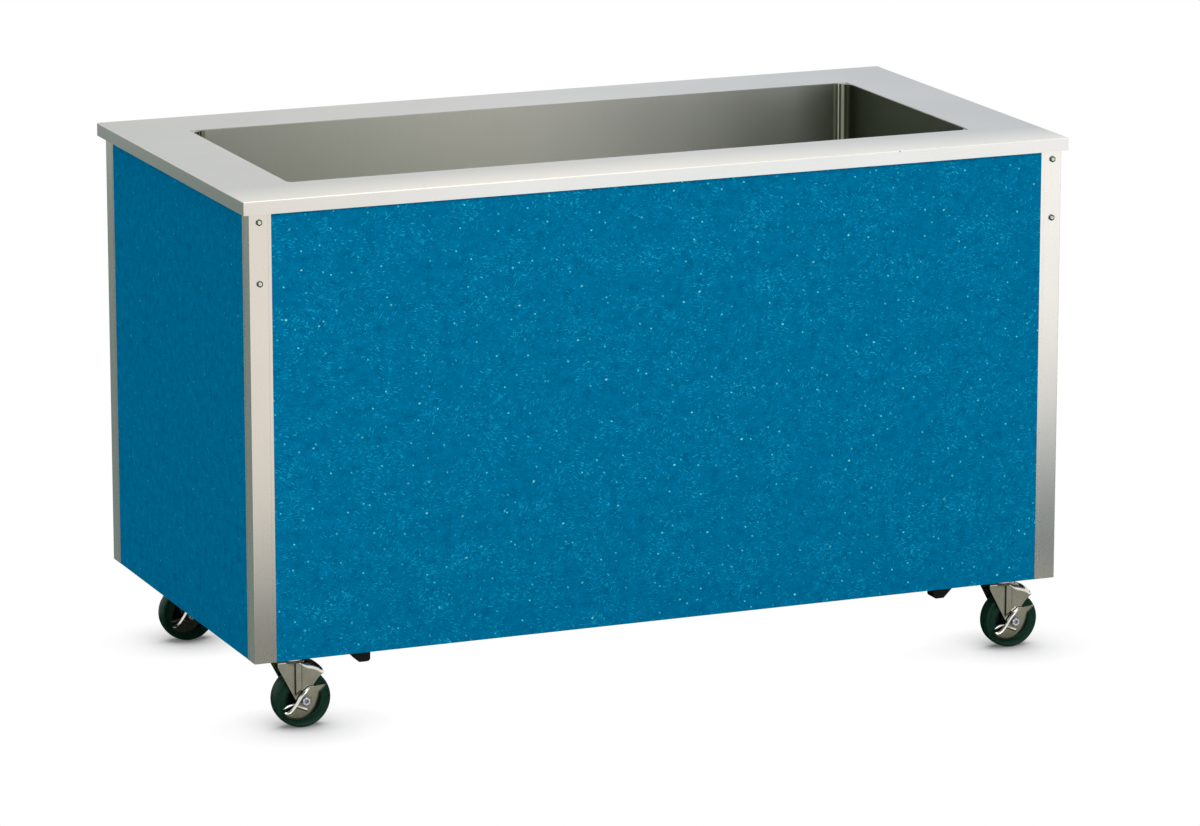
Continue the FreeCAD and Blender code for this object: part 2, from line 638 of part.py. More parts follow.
def axle():
    """Bolt through both legs; its head holds the brake lever on the near side."""
    near = LEVER_FRONT + SIDE_CLEARANCE
    shank = rod(AXLE_RADIUS, AXLE - Y_AXIS * near, near + LEG_OUTSIDE, Y_AXIS)
    head = hexagon(AXLE_HEAD, AXLE - Y_AXIS * near, AXLE_HEAD_HEIGHT, Y_AXIS * -1)
    tip = rod(AXLE_TIP_RADIUS, AXLE - Y_AXIS * (near + AXLE_HEAD_HEIGHT), AXLE_TIP, Y_AXIS * -1)
    nut = hexagon(AXLE_HEAD, AXLE + Y_AXIS * LEG_OUTSIDE, AXLE_HEAD_HEIGHT, Y_AXIS)
    return shank.fuse([head, tip, nut]).removeSplitter()


def turned(profile):
    """A closed profile of (radius, distance along the axle) turned about the axle."""
    points = [AXLE + V(0, along, radius) for radius, along in profile]
    points.append(points[0])
    return Part.Face(Part.makePolygon(points)).revolve(AXLE, Y_AXIS, 360)


def hub():
    """Wheel centre: a rim, a thin web and a boss that turns on the axle."""
    bore = AXLE_RADIUS + RUNNING_CLEARANCE
    rim = TREAD_WIDTH / 2 - HUB_RIM_INSET
    rim_inside = HUB_RADIUS - HUB_RIM
    web = HUB_WEB / 2
    boss = HUB_BOSS_LENGTH / 2
    half = [(HUB_RADIUS, rim), (rim_inside, rim), (rim_inside - HUB_DRAFT, web),
            (HUB_BOSS + HUB_DRAFT, web), (HUB_BOSS, boss), (bore, boss)]
    mirrored = [(radius, -along) for radius, along in reversed(half)]
    return turned(half + mirrored)


def tyre():
    half = TREAD_WIDTH / 2
    inner = HUB_RADIUS + RUNNING_CLEARANCE
    ring = rod(WHEEL_RADIUS, AXLE - Y_AXIS * half, TREAD_WIDTH, Y_AXIS)
    rims = [e for e in ring.Edges if e.BoundBox.YLength < 0.001]
    ring = ring.makeFillet(TREAD_ROUND, rims)
    return ring.cut(rod(inner, AXLE - Y_AXIS * half, TREAD_WIDTH, Y_AXIS))


def lever_point(place, y):
    return AXLE + V(place[0], y, place[1])


def lever_curve(places, y):
    spline = Part.BSplineCurve()
    spline.interpolate([lever_point(place, y) for place in places])
    return spline.toShape()


def brake_lever():
    """Pressed plate over the near leg with a raised fold, a foot tab and a hub boss."""
    back = -LEVER_BACK
    belly = lever_curve([LEVER_TOE_ROOT] + LEVER_BELLY + [LEVER_HEEL], back)
    fold = lever_curve(LEVER_FOLD_LINE, back)
    sides = [belly,
             Part.makeLine(lever_point(LEVER_HEEL, back), lever_point(LEVER_FOLD_LINE[0], back)),
             fold,
             Part.makeLine(lever_point(LEVER_FOLD_LINE[-1], back), lever_point(LEVER_TOE, back)),
             Part.makeLine(lever_point(LEVER_TOE, back), lever_point(LEVER_TOE_ROOT, back))]
    plate = Part.Face(Part.Wire(sides)).extrude(Y_AXIS * -LEVER_SHEET)
    inner = [(x + LEVER_FOLD_SHIFT[0], z + LEVER_FOLD_SHIFT[1]) for x, z in LEVER_FOLD_LINE]
    strip_sides = [fold,
                   Part.makeLine(lever_point(LEVER_FOLD_LINE[-1], back), lever_point(inner[-1], back)),
                   lever_curve(inner, back),
                   Part.makeLine(lever_point(inner[0], back), lever_point(LEVER_FOLD_LINE[0], back))]
    strip = Part.Face(Part.Wire(Part.sortEdges(strip_sides)[0])).extrude(Y_AXIS * -LEVER_FOLD)
    boss_start = AXLE - Y_AXIS * (LEG_OUTSIDE + SIDE_CLEARANCE)
    boss = rod(LEVER_BOSS, boss_start, LEVER_BACK - LEG_OUTSIDE, Y_AXIS * -1)
    shape = plate.fuse([strip, boss])
    hole = rod(AXLE_RADIUS + RUNNING_CLEARANCE, boss_start, LEVER_FRONT, Y_AXIS * -1)
    return shape.cut(hole).removeSplitter()


# Drain: flange, strainer, pipe and ball valve under the well

DRAIN = V(DRAIN_X, DRAIN_Y, 0)
BARREL_BOTTOM = JACKET_BOTTOM - DRAIN_BARREL_END
VALVE_TOP = BARREL_BOTTOM - PIPE_LENGTH + SOCKET_DEPTH
VALVE_BOTTOM = VALVE_TOP - VALVE_HEIGHT
BALL_CENTRE = DRAIN + V(0, 0, (VALVE_TOP + VALVE_BOTTOM) / 2)
HANDLE_FACE = VALVE_NECK_REACH + SIDE_CLEARANCE


def drain_rod(radius, bottom, top):
    """Upright round bar on the drain's axis."""
    return rod(radius, DRAIN + Z_AXIS * bottom, top - bottom, Z_AXIS)


def drain_flange():
    rim_top = WELL_FLOOR + DRAIN_FLANGE_HEIGHT
    seat = STRAINER_RADIUS + SIDE_CLEARANCE
    shape = drain_rod(DRAIN_FLANGE_RADIUS, WELL_FLOOR, rim_top)
    shape = shape.fuse(drain_rod(DRAIN_BARREL, BARREL_BOTTOM, WELL_FLOOR))
    shape = shape.cut(drain_rod(DRAIN_BORE, BARREL_BOTTOM, rim_top))
    return shape.cut(drain_rod(seat, rim_top - STRAINER_SHEET, rim_top)).removeSplitter()


def drain_strainer():
    """Loose perforated disc that drops into the flange."""
    top = WELL_FLOOR + DRAIN_FLANGE_HEIGHT
    disc = drain_rod(STRAINER_RADIUS, top - STRAINER_SHEET, top)
    holes = [drain_rod(STRAINER_HOLE, top - STRAINER_SHEET, top)]
    for ring in range(1, STRAINER_RINGS + 1):
        radius = ring * STRAINER_PITCH
        for step in range(6 * ring):
            angle = 2 * math.pi * step / (6 * ring)
            hole = drain_rod(STRAINER_HOLE, top - STRAINER_SHEET, top)
            hole.translate(V(radius * math.cos(angle), radius * math.sin(angle), 0))
            holes.append(hole)
    return disc.cut(Part.makeCompound(holes))


def drain_locknut():
    start = DRAIN + Z_AXIS * JACKET_BOTTOM
    nut = hexagon(LOCKNUT_FLATS, start, LOCKNUT_HEIGHT, Z_AXIS * -1)
    return nut.cut(drain_rod(DRAIN_BARREL + RUNNING_CLEARANCE, JACKET_BOTTOM - LOCKNUT_HEIGHT, JACKET_BOTTOM))


def drain_pipe():
    bottom = BARREL_BOTTOM - PIPE_LENGTH
    return drain_rod(PIPE_RADIUS, bottom, BARREL_BOTTOM).cut(drain_rod(DRAIN_BORE, bottom, BARREL_BOTTOM))


def valve_body():
    """Ball valve housing with a hose spigot below and the stem's neck to the rear."""
    shape = drain_rod(VALVE_RADIUS, VALVE_BOTTOM, VALVE_TOP)
    shape = shape.makeFillet(VALVE_ROUND, edges_at_height(shape, VALVE_BOTTOM))
    shape = shape.fuse(hexagon(VALVE_FLATS, DRAIN + Z_AXIS * VALVE_TOP, VALVE_FLATS_HEIGHT, Z_AXIS * -1))
    shape = shape.fuse(drain_rod(SPIGOT_RADIUS, VALVE_BOTTOM - SPIGOT_LENGTH, VALVE_BOTTOM))
    shape = shape.fuse(rod(VALVE_NECK, BALL_CENTRE, VALVE_NECK_REACH, Y_AXIS))
    pipe_socket = drain_rod(PIPE_RADIUS + RUNNING_CLEARANCE, VALVE_TOP - SOCKET_DEPTH, VALVE_TOP)
    shape = shape.cut(pipe_socket)
    shape = shape.cut(drain_rod(SPIGOT_BORE, VALVE_BOTTOM - SPIGOT_LENGTH, VALVE_TOP))
    shape = shape.cut(Part.makeSphere(VALVE_BALL + SIDE_CLEARANCE, BALL_CENTRE))
    stem_hole = rod(STEM_RADIUS + RUNNING_CLEARANCE, BALL_CENTRE, VALVE_NECK_REACH, Y_AXIS)
    return shape.cut(stem_hole).removeSplitter()


def valve_ball():
    """Bored ball with its stem; the bore lies across the flow, so the valve is shut."""
    ball = Part.makeSphere(VALVE_BALL, BALL_CENTRE)
    root = VALVE_BALL - STEM_ROOT
    stem = rod(STEM_RADIUS, BALL_CENTRE + Y_AXIS * root, STEM_REACH - root, Y_AXIS)
    bore = rod(VALVE_BALL_BORE, BALL_CENTRE - X_AXIS * VALVE_BALL, 2 * VALVE_BALL, X_AXIS)
    return ball.cut(bore).fuse(stem).removeSplitter()


def handle_bar(half_width, x0, x1, y0, y1):
    """Flat bar beside the valve with a round end."""
    centre = BALL_CENTRE
    bar = box(centre.x + x0, centre.x + x1 - half_width, centre.y + y0, centre.y + y1,
              centre.z - half_width, centre.z + half_width)
    end = rod(half_width, V(centre.x + x1 - half_width, centre.y + y0, centre.z), y1 - y0, Y_AXIS)
    return bar.fuse(end).removeSplitter()


def valve_handle():
    half = HANDLE_WIDTH / 2
    y0 = HANDLE_FACE
    y1 = HANDLE_FACE + HANDLE_SHEET
    bar = handle_bar(half, 0, HANDLE_LENGTH, y0, y1)
    bar = bar.fuse(rod(half, BALL_CENTRE + Y_AXIS * y0, HANDLE_SHEET, Y_AXIS))
    hole = rod(STEM_RADIUS + RUNNING_CLEARANCE, BALL_CENTRE + Y_AXIS * y0, HANDLE_SHEET, Y_AXIS)
    return bar.cut(hole).removeSplitter()


def valve_grip():
    """Dipped sleeve over the handle's outer part."""
    half = HANDLE_WIDTH / 2
    y0 = HANDLE_FACE
    y1 = HANDLE_FACE + HANDLE_SHEET
    w = GRIP_WALL
    x0 = HANDLE_LENGTH - GRIP_LENGTH
    c = RUNNING_CLEARANCE
    sleeve = handle_bar(half + w, x0, HANDLE_LENGTH + w, y0 - w, y1 + w)
    return sleeve.cut(handle_bar(half + c, x0 - w, HANDLE_LENGTH + c, y0 - c, y1 + c))


def handle_nut():
    y0 = HANDLE_FACE + HANDLE_SHEET
    nut = hexagon(HANDLE_NUT, BALL_CENTRE + Y_AXIS * y0, HANDLE_NUT_HEIGHT, Y_AXIS)
    return nut.cut(rod(STEM_RADIUS + RUNNING_CLEARANCE, BALL_CENTRE + Y_AXIS * y0, HANDLE_NUT_HEIGHT, Y_AXIS))


def moved(shape, place):
    """A copy of a shape moved by a vector."""
    copy = shape.copy()
    copy.translate(place)
    return copy


def main():
    os.makedirs("parts", exist_ok=True)

    save("worktop", Part.makeCompound(worktop()))
    save("well_liner", Part.makeCompound(well_liner()))
    save("well_insulation", well_insulation())
    save("well_jacket", Part.makeCompound(well_jacket()))

    for name, corner in CORNERS.items():
        save(name + "_post", post(corner))
    save("front_panel", front_panel())
    save("left_panel", end_panel(-1))
    save("right_panel", end_panel(1))
    save("front_top_rail", front_top_rail())
    save("left_top_rail", end_top_rail(-1))
    save("right_top_rail", end_top_rail(1))
    save("rear_apron", rear_apron())
    save("corner_brackets", Part.makeCompound([corner_bracket(c) for c in CORNERS.values()]))
    save("post_bolts", Part.makeCompound([post_bolt(c, drop) for c in CORNERS.values()
                                          for drop in (UPPER_BOLT_DROP, LOWER_BOLT_DROP)]))

    save("bottom_shelf", bottom_shelf())
    save("shelf_stiffener", shelf_stiffener())
    save("left_caster_rail", caster_rail(-1))
    save("right_caster_rail", caster_rail(1))
    save("left_base_block", base_block(-1))
    save("right_base_block", base_block(1))

    places = {name: caster_place(corner) for name, corner in CORNERS.items()}
    caster_pieces = {
        "top_plate": top_plate(),
        "fork": fork(),
        "axle": axle(),
        "hub": hub(),
        "tyre": tyre(),
        "brake_lever": brake_lever(),
    }
    for name, place in places.items():
        for piece, shape in caster_pieces.items():
            save(name + "_" + piece, moved(shape, place))
    save("kingpins", Part.makeCompound([moved(kingpin(), place) for place in places.values()]))
    save("swivel_balls", Part.makeCompound([moved(ball, place) for place in places.values()
                                            for ball in swivel_balls()]))
    save("caster_bolts", Part.makeCompound([caster_bolt(place, side_x, side_y)
                                            for place in places.values()
                                            for side_x in (-1, 1) for side_y in (-1, 1)]))

    save("drain_flange", drain_flange())
    save("drain_strainer", drain_strainer())
    save("drain_locknut", drain_locknut())
    save("drain_pipe", drain_pipe())
    save("valve_body", valve_body())
    save("valve_ball", valve_ball())
    save("valve_handle", valve_handle())
    save("valve_grip", valve_grip())
    save("handle_nut", handle_nut())


main()
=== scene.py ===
# %% [markdown]
# Mobile salad bar: a stainless top with a deep ice well, on a cart faced with blue
# laminate, on four braked casters.  The solid parts come in already placed, and this
# script gives them their finishes, replaces the casters' pressed and moulded pieces
# with finer ones, and sets up a plain studio.

# %% Load the parts
import json
import math

import bpy
import numpy as np
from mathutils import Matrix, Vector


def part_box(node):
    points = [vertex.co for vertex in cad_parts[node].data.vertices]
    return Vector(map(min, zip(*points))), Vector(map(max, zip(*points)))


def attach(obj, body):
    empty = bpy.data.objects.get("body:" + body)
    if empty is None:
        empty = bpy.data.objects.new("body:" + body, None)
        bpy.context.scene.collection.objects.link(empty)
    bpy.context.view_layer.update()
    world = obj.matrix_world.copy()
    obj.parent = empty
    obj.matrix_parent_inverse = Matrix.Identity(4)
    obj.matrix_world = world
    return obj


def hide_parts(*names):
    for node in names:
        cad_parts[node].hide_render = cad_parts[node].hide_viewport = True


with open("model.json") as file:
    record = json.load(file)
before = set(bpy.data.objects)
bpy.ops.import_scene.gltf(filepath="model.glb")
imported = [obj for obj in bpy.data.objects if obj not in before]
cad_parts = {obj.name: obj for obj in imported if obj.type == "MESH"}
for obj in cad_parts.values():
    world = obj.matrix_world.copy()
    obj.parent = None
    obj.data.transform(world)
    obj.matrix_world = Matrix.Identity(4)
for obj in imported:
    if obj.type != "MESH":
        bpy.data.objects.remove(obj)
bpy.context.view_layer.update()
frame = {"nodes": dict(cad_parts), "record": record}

# %% [markdown]
# Sizes are written in millimetres, as on a drawing, and turned to metres in one place.
# Colours are written as the hex values that a screen shows.  A renderer adds light, so
# it needs linear values, and one function turns the one into the other.

# %% Units and colours
MM = 0.001


def linear(hex_colour):
    """The linear red, green, blue and alpha of an sRGB hex colour."""
    values = np.array([int(hex_colour[i:i + 2], 16) for i in (1, 3, 5)]) / 255
    low = values / 12.92
    high = ((values + 0.055) / 1.055) ** 2.4
    return (*np.where(values <= 0.04045, low, high), 1.0)


def per_mm(size):
    """Texture scale at which one feature is about this many millimetres wide."""
    return 1 / (size * MM)


print("blue in linear light:", np.round(linear("#0072A5"), 3))

# %% [markdown]
# The camera stands to the left of the cart and above it, far away with a long lens, so
# that the long edges stay almost parallel.  It tilts down and isn't shifted.

# %% Camera
CAMERA_PLACE = (-3.9102, -9.5178, 2.8334)
CAMERA_YAW = 22.534        # degrees to the right of straight ahead
CAMERA_PITCH = 13.231      # degrees down
CAMERA_LENS = 178.4

lens = bpy.data.cameras.new("camera")
lens.lens = CAMERA_LENS
lens.sensor_width = 36.0
camera = bpy.data.objects.new("camera", lens)
camera.location = CAMERA_PLACE
camera.rotation_euler = (math.radians(90 - CAMERA_PITCH), 0, math.radians(-CAMERA_YAW))
bpy.context.scene.collection.objects.link(camera)
bpy.context.scene.camera = camera
bpy.context.scene.view_settings.view_transform = "Standard"
print("camera", CAMERA_PLACE)

# %% [markdown]
# A material is a small graph.  One function adds a node, sets its options and wires its
# inputs, so that each finish below reads as a list of what it is made of.

# %% Nodes
def add_node(tree, kind, inputs=None, stops=(), **options):
    """Add a shader node; inputs maps a socket's name or number to a value or another
    output, and stops are a colour ramp's (position, hex colour) pairs."""
    made = tree.nodes.new("ShaderNode" + kind)
    for option, value in options.items():
        setattr(made, option, value)
    for socket, value in (inputs or {}).items():
        if isinstance(value, bpy.types.NodeSocket):
            tree.links.new(value, made.inputs[socket])
        else:
            made.inputs[socket].default_value = value
    if stops:
        ramp = made.color_ramp.elements
        ramp.remove(ramp[1])
        ramp[0].position, ramp[0].color = stops[0][0], linear(stops[0][1])
        for position, shade in stops[1:]:
            ramp.new(position).color = linear(shade)
    return made


def bare_tree(owner):
    """The empty node tree of a material or a world."""
    owner.use_nodes = True
    owner.node_tree.nodes.clear()
    return owner.node_tree


def new_finish(name, **constants):
    """A material with one Principled shader, its constant inputs set by name."""
    material = bpy.data.materials.new(name)
    tree = bare_tree(material)
    named = {key.replace("_", " "): value for key, value in constants.items()}
    shader = add_node(tree, "BsdfPrincipled", named)
    add_node(tree, "OutputMaterial", {"Surface": shader.outputs[0]})
    place = add_node(tree, "TexCoord").outputs["Object"]
    return material, tree, shader, place


# %% [markdown]
# The studio is a white floor under an even white sky, and what the camera sees of both is plain white, as
# in a catalogue picture that was cut out.  Where something stands close over the floor, a painted shadow
# lies on it: in a share set by ambient occlusion the floor turns into a darker grey, which keeps its real
# shading, so that soft shadows lie under the wheels.

# %% Sky and floor
SKY_STRENGTH = 0.62        # even light from all round
FLOOR_SIZE = 60.0
SHADOW_REACH = 118.0       # mm, how far over the floor a thing still shades it
SHADOW_DEPTH = 0.9         # share of the floor's own shading where it is closest


def seen_directly(tree):
    """1 for rays that draw the picture or a reflection in it, and 0 for light."""
    path = add_node(tree, "LightPath")
    glossy = add_node(tree, "Math", {0: path.outputs["Is Camera Ray"],
                                     1: path.outputs["Is Glossy Ray"]}, operation="ADD")
    return add_node(tree, "Math", {0: glossy.outputs[0], 1: path.outputs["Is Transmission Ray"]},
                    operation="ADD", use_clamp=True).outputs[0]


world = bpy.data.worlds.new("studio")
sky = bare_tree(world)
even = add_node(sky, "Background", {"Color": linear("#FFFFFF"), "Strength": SKY_STRENGTH})
white = add_node(sky, "Background", {"Color": linear("#FFFFFF"), "Strength": 1.0})
both = add_node(sky, "MixShader", {0: seen_directly(sky), 1: even.outputs[0], 2: white.outputs[0]})
add_node(sky, "OutputWorld", {"Surface": both.outputs[0]})
bpy.context.scene.world = world

paper = bpy.data.materials.new("studio_floor")
tree = bare_tree(paper)
shaded = add_node(tree, "BsdfDiffuse", {"Color": linear("#F4F4F4")})
lit = add_node(tree, "Emission", {"Color": linear("#FFFFFF"), "Strength": 1.0})
near = add_node(tree, "AmbientOcclusion", {"Distance": SHADOW_REACH * MM}, samples=16)
depth = add_node(tree, "MapRange", {"Value": near.outputs["AO"], "From Min": 1.0, "From Max": 0.45,
                                    "To Min": 0.0, "To Max": SHADOW_DEPTH})
# painted shadow: near things the floor turns into this darker grey, which keeps its real shading
shadow_pool = add_node(tree, "BsdfDiffuse", {"Color": linear("#D2D2D5")})
seen = add_node(tree, "MixShader", {0: depth.outputs[0], 1: lit.outputs[0], 2: shadow_pool.outputs[0]})
final = add_node(tree, "MixShader", {0: seen_directly(tree), 1: shaded.outputs[0], 2: seen.outputs[0]})
add_node(tree, "OutputMaterial", {"Surface": final.outputs[0]})


def add_sheet(name, corners, material):
    """A flat four-cornered stage piece, corners in metres."""
    mesh = bpy.data.meshes.new(name)
    mesh.from_pydata(corners, [], [(0, 1, 2, 3)])
    mesh.materials.append(material)
    sheet = bpy.data.objects.new(name, mesh)
    bpy.context.scene.collection.objects.link(sheet)
    return sheet


half = FLOOR_SIZE / 2
add_sheet("studio_floor", [(-half, -half, 0), (half, -half, 0), (half, half, 0), (-half, half, 0)], paper)
print("floor", FLOOR_SIZE, "m across")

# %% [markdown]
# One broad lamp high in front and to the left gives the front its light, and a weaker one from behind
# lights the top.  Metal shows what stands round it.  Grey cards lie on the floor in front of the cart,
# beyond its left end and under it.  Only reflections see them, and they neither light nor shade anything,
# so they are painted reflections: the posts mirror the front one at their feet and the white beyond it
# higher up, and the steel that faces left mirrors the left one.  The one below and a low curtain on it are
# dark sheets that stand for the shade under the cart, a painted shade that gives the casters their dark
# reflections.

# %% Lamps and cards
LAMPS = {
    "key": {"place": (-0.7, -6.2, 5.2), "size": 3.4, "power": 150},
    "top": {"place": (0.6, 2.4, 4.8), "size": 3.0, "power": 60},
}
AIM = (0, 0, 0.55)
PAINTED_REFLECTION_CARDS = {                  # reach and height in metres; slant of the far edge and rise of the rear one;
                           # places along Y where it turns white and has its shades
    # painted reflections: the front card's shades darken the posts' feet, darkest next to the cart
    "front": {"x": (-5.0, 5.0), "y": (-4.2, -0.34), "height": 0.004, "slant": 0.24, "fade": (-1.00, -2.05),
              "shades": [(-0.36, "#20261C"), (-0.54, "#8E8E7E"), (-0.80, "#8F9087"), (-0.96, "#4A5E63")]},
    "left": {"x": (-6.0, -0.80), "y": (-0.90, 8.5), "height": 0.003, "fade": (4.4, 8.0),
             "shades": [(-0.36, "#7C8C89"), (-0.98, "#7C8C89")]},
    # painted shade: the under card and the curtain stand for the shade under the cart, seen only in
    # reflections
    "under": {"x": (-0.80, 0.80), "y": (-0.35, 0.45), "height": 0.0045, "fade": (20.0, 21.0),
              "shades": [(-0.36, "#161A13"), (-0.98, "#161A13")]},
    "curtain": {"x": (-0.80, 0.80), "y": (0.10, 0.10), "height": 0.005, "rise": 0.12, "fade": (20.0, 21.0),
                "shades": [(-0.36, "#161A13"), (-0.98, "#161A13")]},
}


def aim_at(place, target):
    """Rotation that turns a lamp's -Z towards a target."""
    ray = np.subtract(target, place)
    flat = math.hypot(ray[0], ray[1])
    return (math.atan2(flat, -ray[2]), 0, math.atan2(ray[1], ray[0]) - math.pi / 2)


for name, lamp in LAMPS.items():
    light = bpy.data.lights.new(name, "AREA")
    light.shape = "DISK"
    light.size = lamp["size"]
    light.energy = lamp["power"]
    holder = bpy.data.objects.new(name, light)
    holder.location = lamp["place"]
    holder.rotation_euler = aim_at(lamp["place"], AIM)
    bpy.context.scene.collection.objects.link(holder)

for name, card in PAINTED_REFLECTION_CARDS.items():
    grey = bpy.data.materials.new("studio_reflection_card_" + name)
    tree = bare_tree(grey)
    place = add_node(tree, "SeparateXYZ", {0: add_node(tree, "TexCoord").outputs["Object"]})
    nearest, farthest = card["shades"][0][0], card["shades"][-1][0]
    steps = add_node(tree, "MapRange", {"Value": place.outputs[1], "From Min": nearest,
                                        "From Max": farthest})
    greys = add_node(tree, "ValToRGB", {0: steps.outputs[0]}, stops=[
        ((at - nearest) / (farthest - nearest), tone) for at, tone in card["shades"]])
    edge = add_node(tree, "Math", {0: place.outputs[0], 1: card.get("slant", 0.0), 2: place.outputs[1]},
                    operation="MULTIPLY_ADD")
    fade = add_node(tree, "MapRange", {"Value": edge.outputs[0], "From Min": card["fade"][0],
                                       "From Max": card["fade"][1]}, interpolation_type="SMOOTHSTEP")
    shade = add_node(tree, "Mix", {0: fade.outputs[0], 6: greys.outputs[0], 7: linear("#FFFFFF")},
                     data_type="RGBA")
    glow = add_node(tree, "Emission", {"Color": shade.outputs[2], "Strength": 1.0})
    add_node(tree, "OutputMaterial", {"Surface": glow.outputs[0]})
    (x0, x1), (y0, y1), z = card["x"], card["y"], card["height"]
    top = z + card.get("rise", 0.0)
    sheet = add_sheet("studio_reflection_card_" + name,
                      [(x0, y0, z), (x1, y0, z), (x1, y1, top), (x0, y1, top)], grey)
    sheet.visible_camera = False
    sheet.visible_diffuse = False
    sheet.visible_transmission = False
    sheet.visible_shadow = False
print("lamps:", len(LAMPS), "cards:", len(PAINTED_REFLECTION_CARDS))

# %% [markdown]
# Stainless steel sheet is ground with a belt, which leaves fine straight scratches.  The
# eye reads them as a soft grain that runs one way.  Noise squeezed across the grain and
# stretched along it gives that, in the colour, the roughness and a very shallow bump.  A
# second, broad noise clouds the sheet a little, as handling does.

# %% Brushed stainless
GRAIN_WIDTH = 1.1          # mm; the real scratches are 0.1 mm, too fine to show
GRAIN_STRETCH = 0.012
CLOUD_SIZE = 190.0         # mm


def brushed_steel(name, pale, dark, along, roughness):
    """Ground sheet whose grain runs along one axis (0, 1 or 2)."""
    material, tree, shader, place = new_finish(name, Metallic=1.0, Roughness=roughness)
    squeeze = [1.0, 1.0, 1.0]
    squeeze[along] = GRAIN_STRETCH
    turned = add_node(tree, "Mapping", {"Vector": place, "Scale": squeeze})
    grain = add_node(tree, "TexNoise", {"Vector": turned.outputs[0], "Scale": per_mm(GRAIN_WIDTH),
                                        "Detail": 3.0, "Roughness": 0.7})
    cloud = add_node(tree, "TexNoise", {"Vector": place, "Scale": per_mm(CLOUD_SIZE), "Detail": 3.0})
    amount = add_node(tree, "Math", {0: grain.outputs[0], 1: 0.45, 2: 0.05}, operation="MULTIPLY_ADD")
    amount = add_node(tree, "Math", {0: cloud.outputs[0], 1: 0.5, 2: amount.outputs[0]},
                      operation="MULTIPLY_ADD", use_clamp=True)
    colour = add_node(tree, "Mix", {0: amount.outputs[0], 6: linear(dark), 7: linear(pale)},
                      data_type="RGBA")
    tree.links.new(colour.outputs[2], shader.inputs["Base Color"])
    dull = add_node(tree, "MapRange", {"Value": amount.outputs[0], "To Min": roughness + 0.07,
                                       "To Max": roughness - 0.06})
    tree.links.new(dull.outputs[0], shader.inputs["Roughness"])
    bump = add_node(tree, "Bump", {"Height": grain.outputs[0], "Strength": 0.12, "Distance": 0.1 * MM})
    tree.links.new(bump.outputs[0], shader.inputs["Normal"])
    return material, tree, shader, place, colour.outputs[2]


# painted light: the posts' colour is painted a little brighter towards the right
UPRIGHT_LEFT_PAINTED_LIGHT = "#E4DCD0"   # the posts are a little brighter towards the lamp's side
UPRIGHT_RIGHT_PAINTED_LIGHT = "#FFFBF4"

post_steel, tree, shader, place, colour = brushed_steel(
    "stainless_brushed_upright", "#FFFFFF", "#F2F2F2", 2, 0.26)
apart = add_node(tree, "SeparateXYZ", {0: place})
rightward = add_node(tree, "MapRange", {"Value": apart.outputs[0], "From Min": -0.75, "From Max": 0.75})
tone = add_node(tree, "Mix", {0: rightward.outputs[0], 6: linear(UPRIGHT_LEFT_PAINTED_LIGHT),
                              7: linear(UPRIGHT_RIGHT_PAINTED_LIGHT)}, data_type="RGBA")
grain_and_painted_light = add_node(tree, "Mix", {0: 1.0, 6: colour, 7: tone.outputs[2]}, data_type="RGBA",
                 blend_type="MULTIPLY")
tree.links.new(grain_and_painted_light.outputs[2], shader.inputs["Base Color"])
print("brushed stainless:", post_steel.name)

# %% [markdown]
# The top's flat face is painted greyer and cooler than its folded edge, and the edge brighter and warmer,
# both changing from left to right as light falls on them: painted light.  The surface's own direction
# tells them apart, and a painted highlight makes the face grow brighter again towards its front edge, next
# to the fold; the end that faces left gets painted shade.
# A few small pits and dust marks keep a plain sheet from looking computed.

# %% Worktop finish
PIT_SPACING = 62.0         # mm
PIT_RADIUS = 1.5
# painted light: tones of the face and of the folded edge from left to right
TOP_PAINTED_LIGHT = [(0.0, "#AEB0AC"), (0.33, "#B6B7B4"), (0.55, "#BABCBB"), (0.78, "#B4B8B9"), (1.0, "#ADB3B6")]
EDGE_PAINTED_LIGHT = [(0.0, "#E9E3DB"), (0.30, "#F4F4F1"), (0.62, "#F6F8F6"), (1.0, "#FFFDF9")]
# painted highlight on the bend between the face and the front edge
BEND_PAINTED_HIGHLIGHT = [(0.0, "#E9E3D8"), (0.26, "#FFF7E9"), (1.0, "#FFFBF2")]
# painted shade on the end that faces left
END_PAINTED_SHADE = "#BBBEB5"
# painted highlight: the face brightens towards its front edge, next to the fold
RIM_PAINTED_HIGHLIGHT = 0.52            # share of the fold's brightness at the flat face's front edge
RIM_REACH = (-0.275, -0.392)           # along Y, from where it begins to the front edge

top_steel, tree, shader, place, colour = brushed_steel(
    "stainless_brushed_top", "#FFFFFF", "#E9E9E9", 0, 0.32)
apart = add_node(tree, "SeparateXYZ", {0: place})
rightward = add_node(tree, "MapRange", {"Value": apart.outputs[0], "From Min": -0.76, "From Max": 0.76})
flat, edge, bend = (add_node(tree, "ValToRGB", {0: rightward.outputs[0]}, stops).outputs[0]
                    for stops in (TOP_PAINTED_LIGHT, EDGE_PAINTED_LIGHT, BEND_PAINTED_HIGHLIGHT))
facing = add_node(tree, "SeparateXYZ", {0: place.node.outputs["Normal"]})
leftward = add_node(tree, "MapRange", {"Value": facing.outputs["X"], "From Min": -0.3, "From Max": -0.8})
edge = add_node(tree, "Mix", {0: leftward.outputs[0], 6: edge, 7: linear(END_PAINTED_SHADE)}, data_type="RGBA")
bend = add_node(tree, "Mix", {0: leftward.outputs[0], 6: bend, 7: linear(END_PAINTED_SHADE)}, data_type="RGBA")
bent = add_node(tree, "MapRange", {"Value": facing.outputs["Z"], "From Min": 0.08, "From Max": 0.30})
upward = add_node(tree, "MapRange", {"Value": facing.outputs["Z"], "From Min": 0.90, "From Max": 0.995})
side = add_node(tree, "Mix", {0: bent.outputs[0], 6: edge.outputs[2], 7: bend.outputs[2]},
                data_type="RGBA")
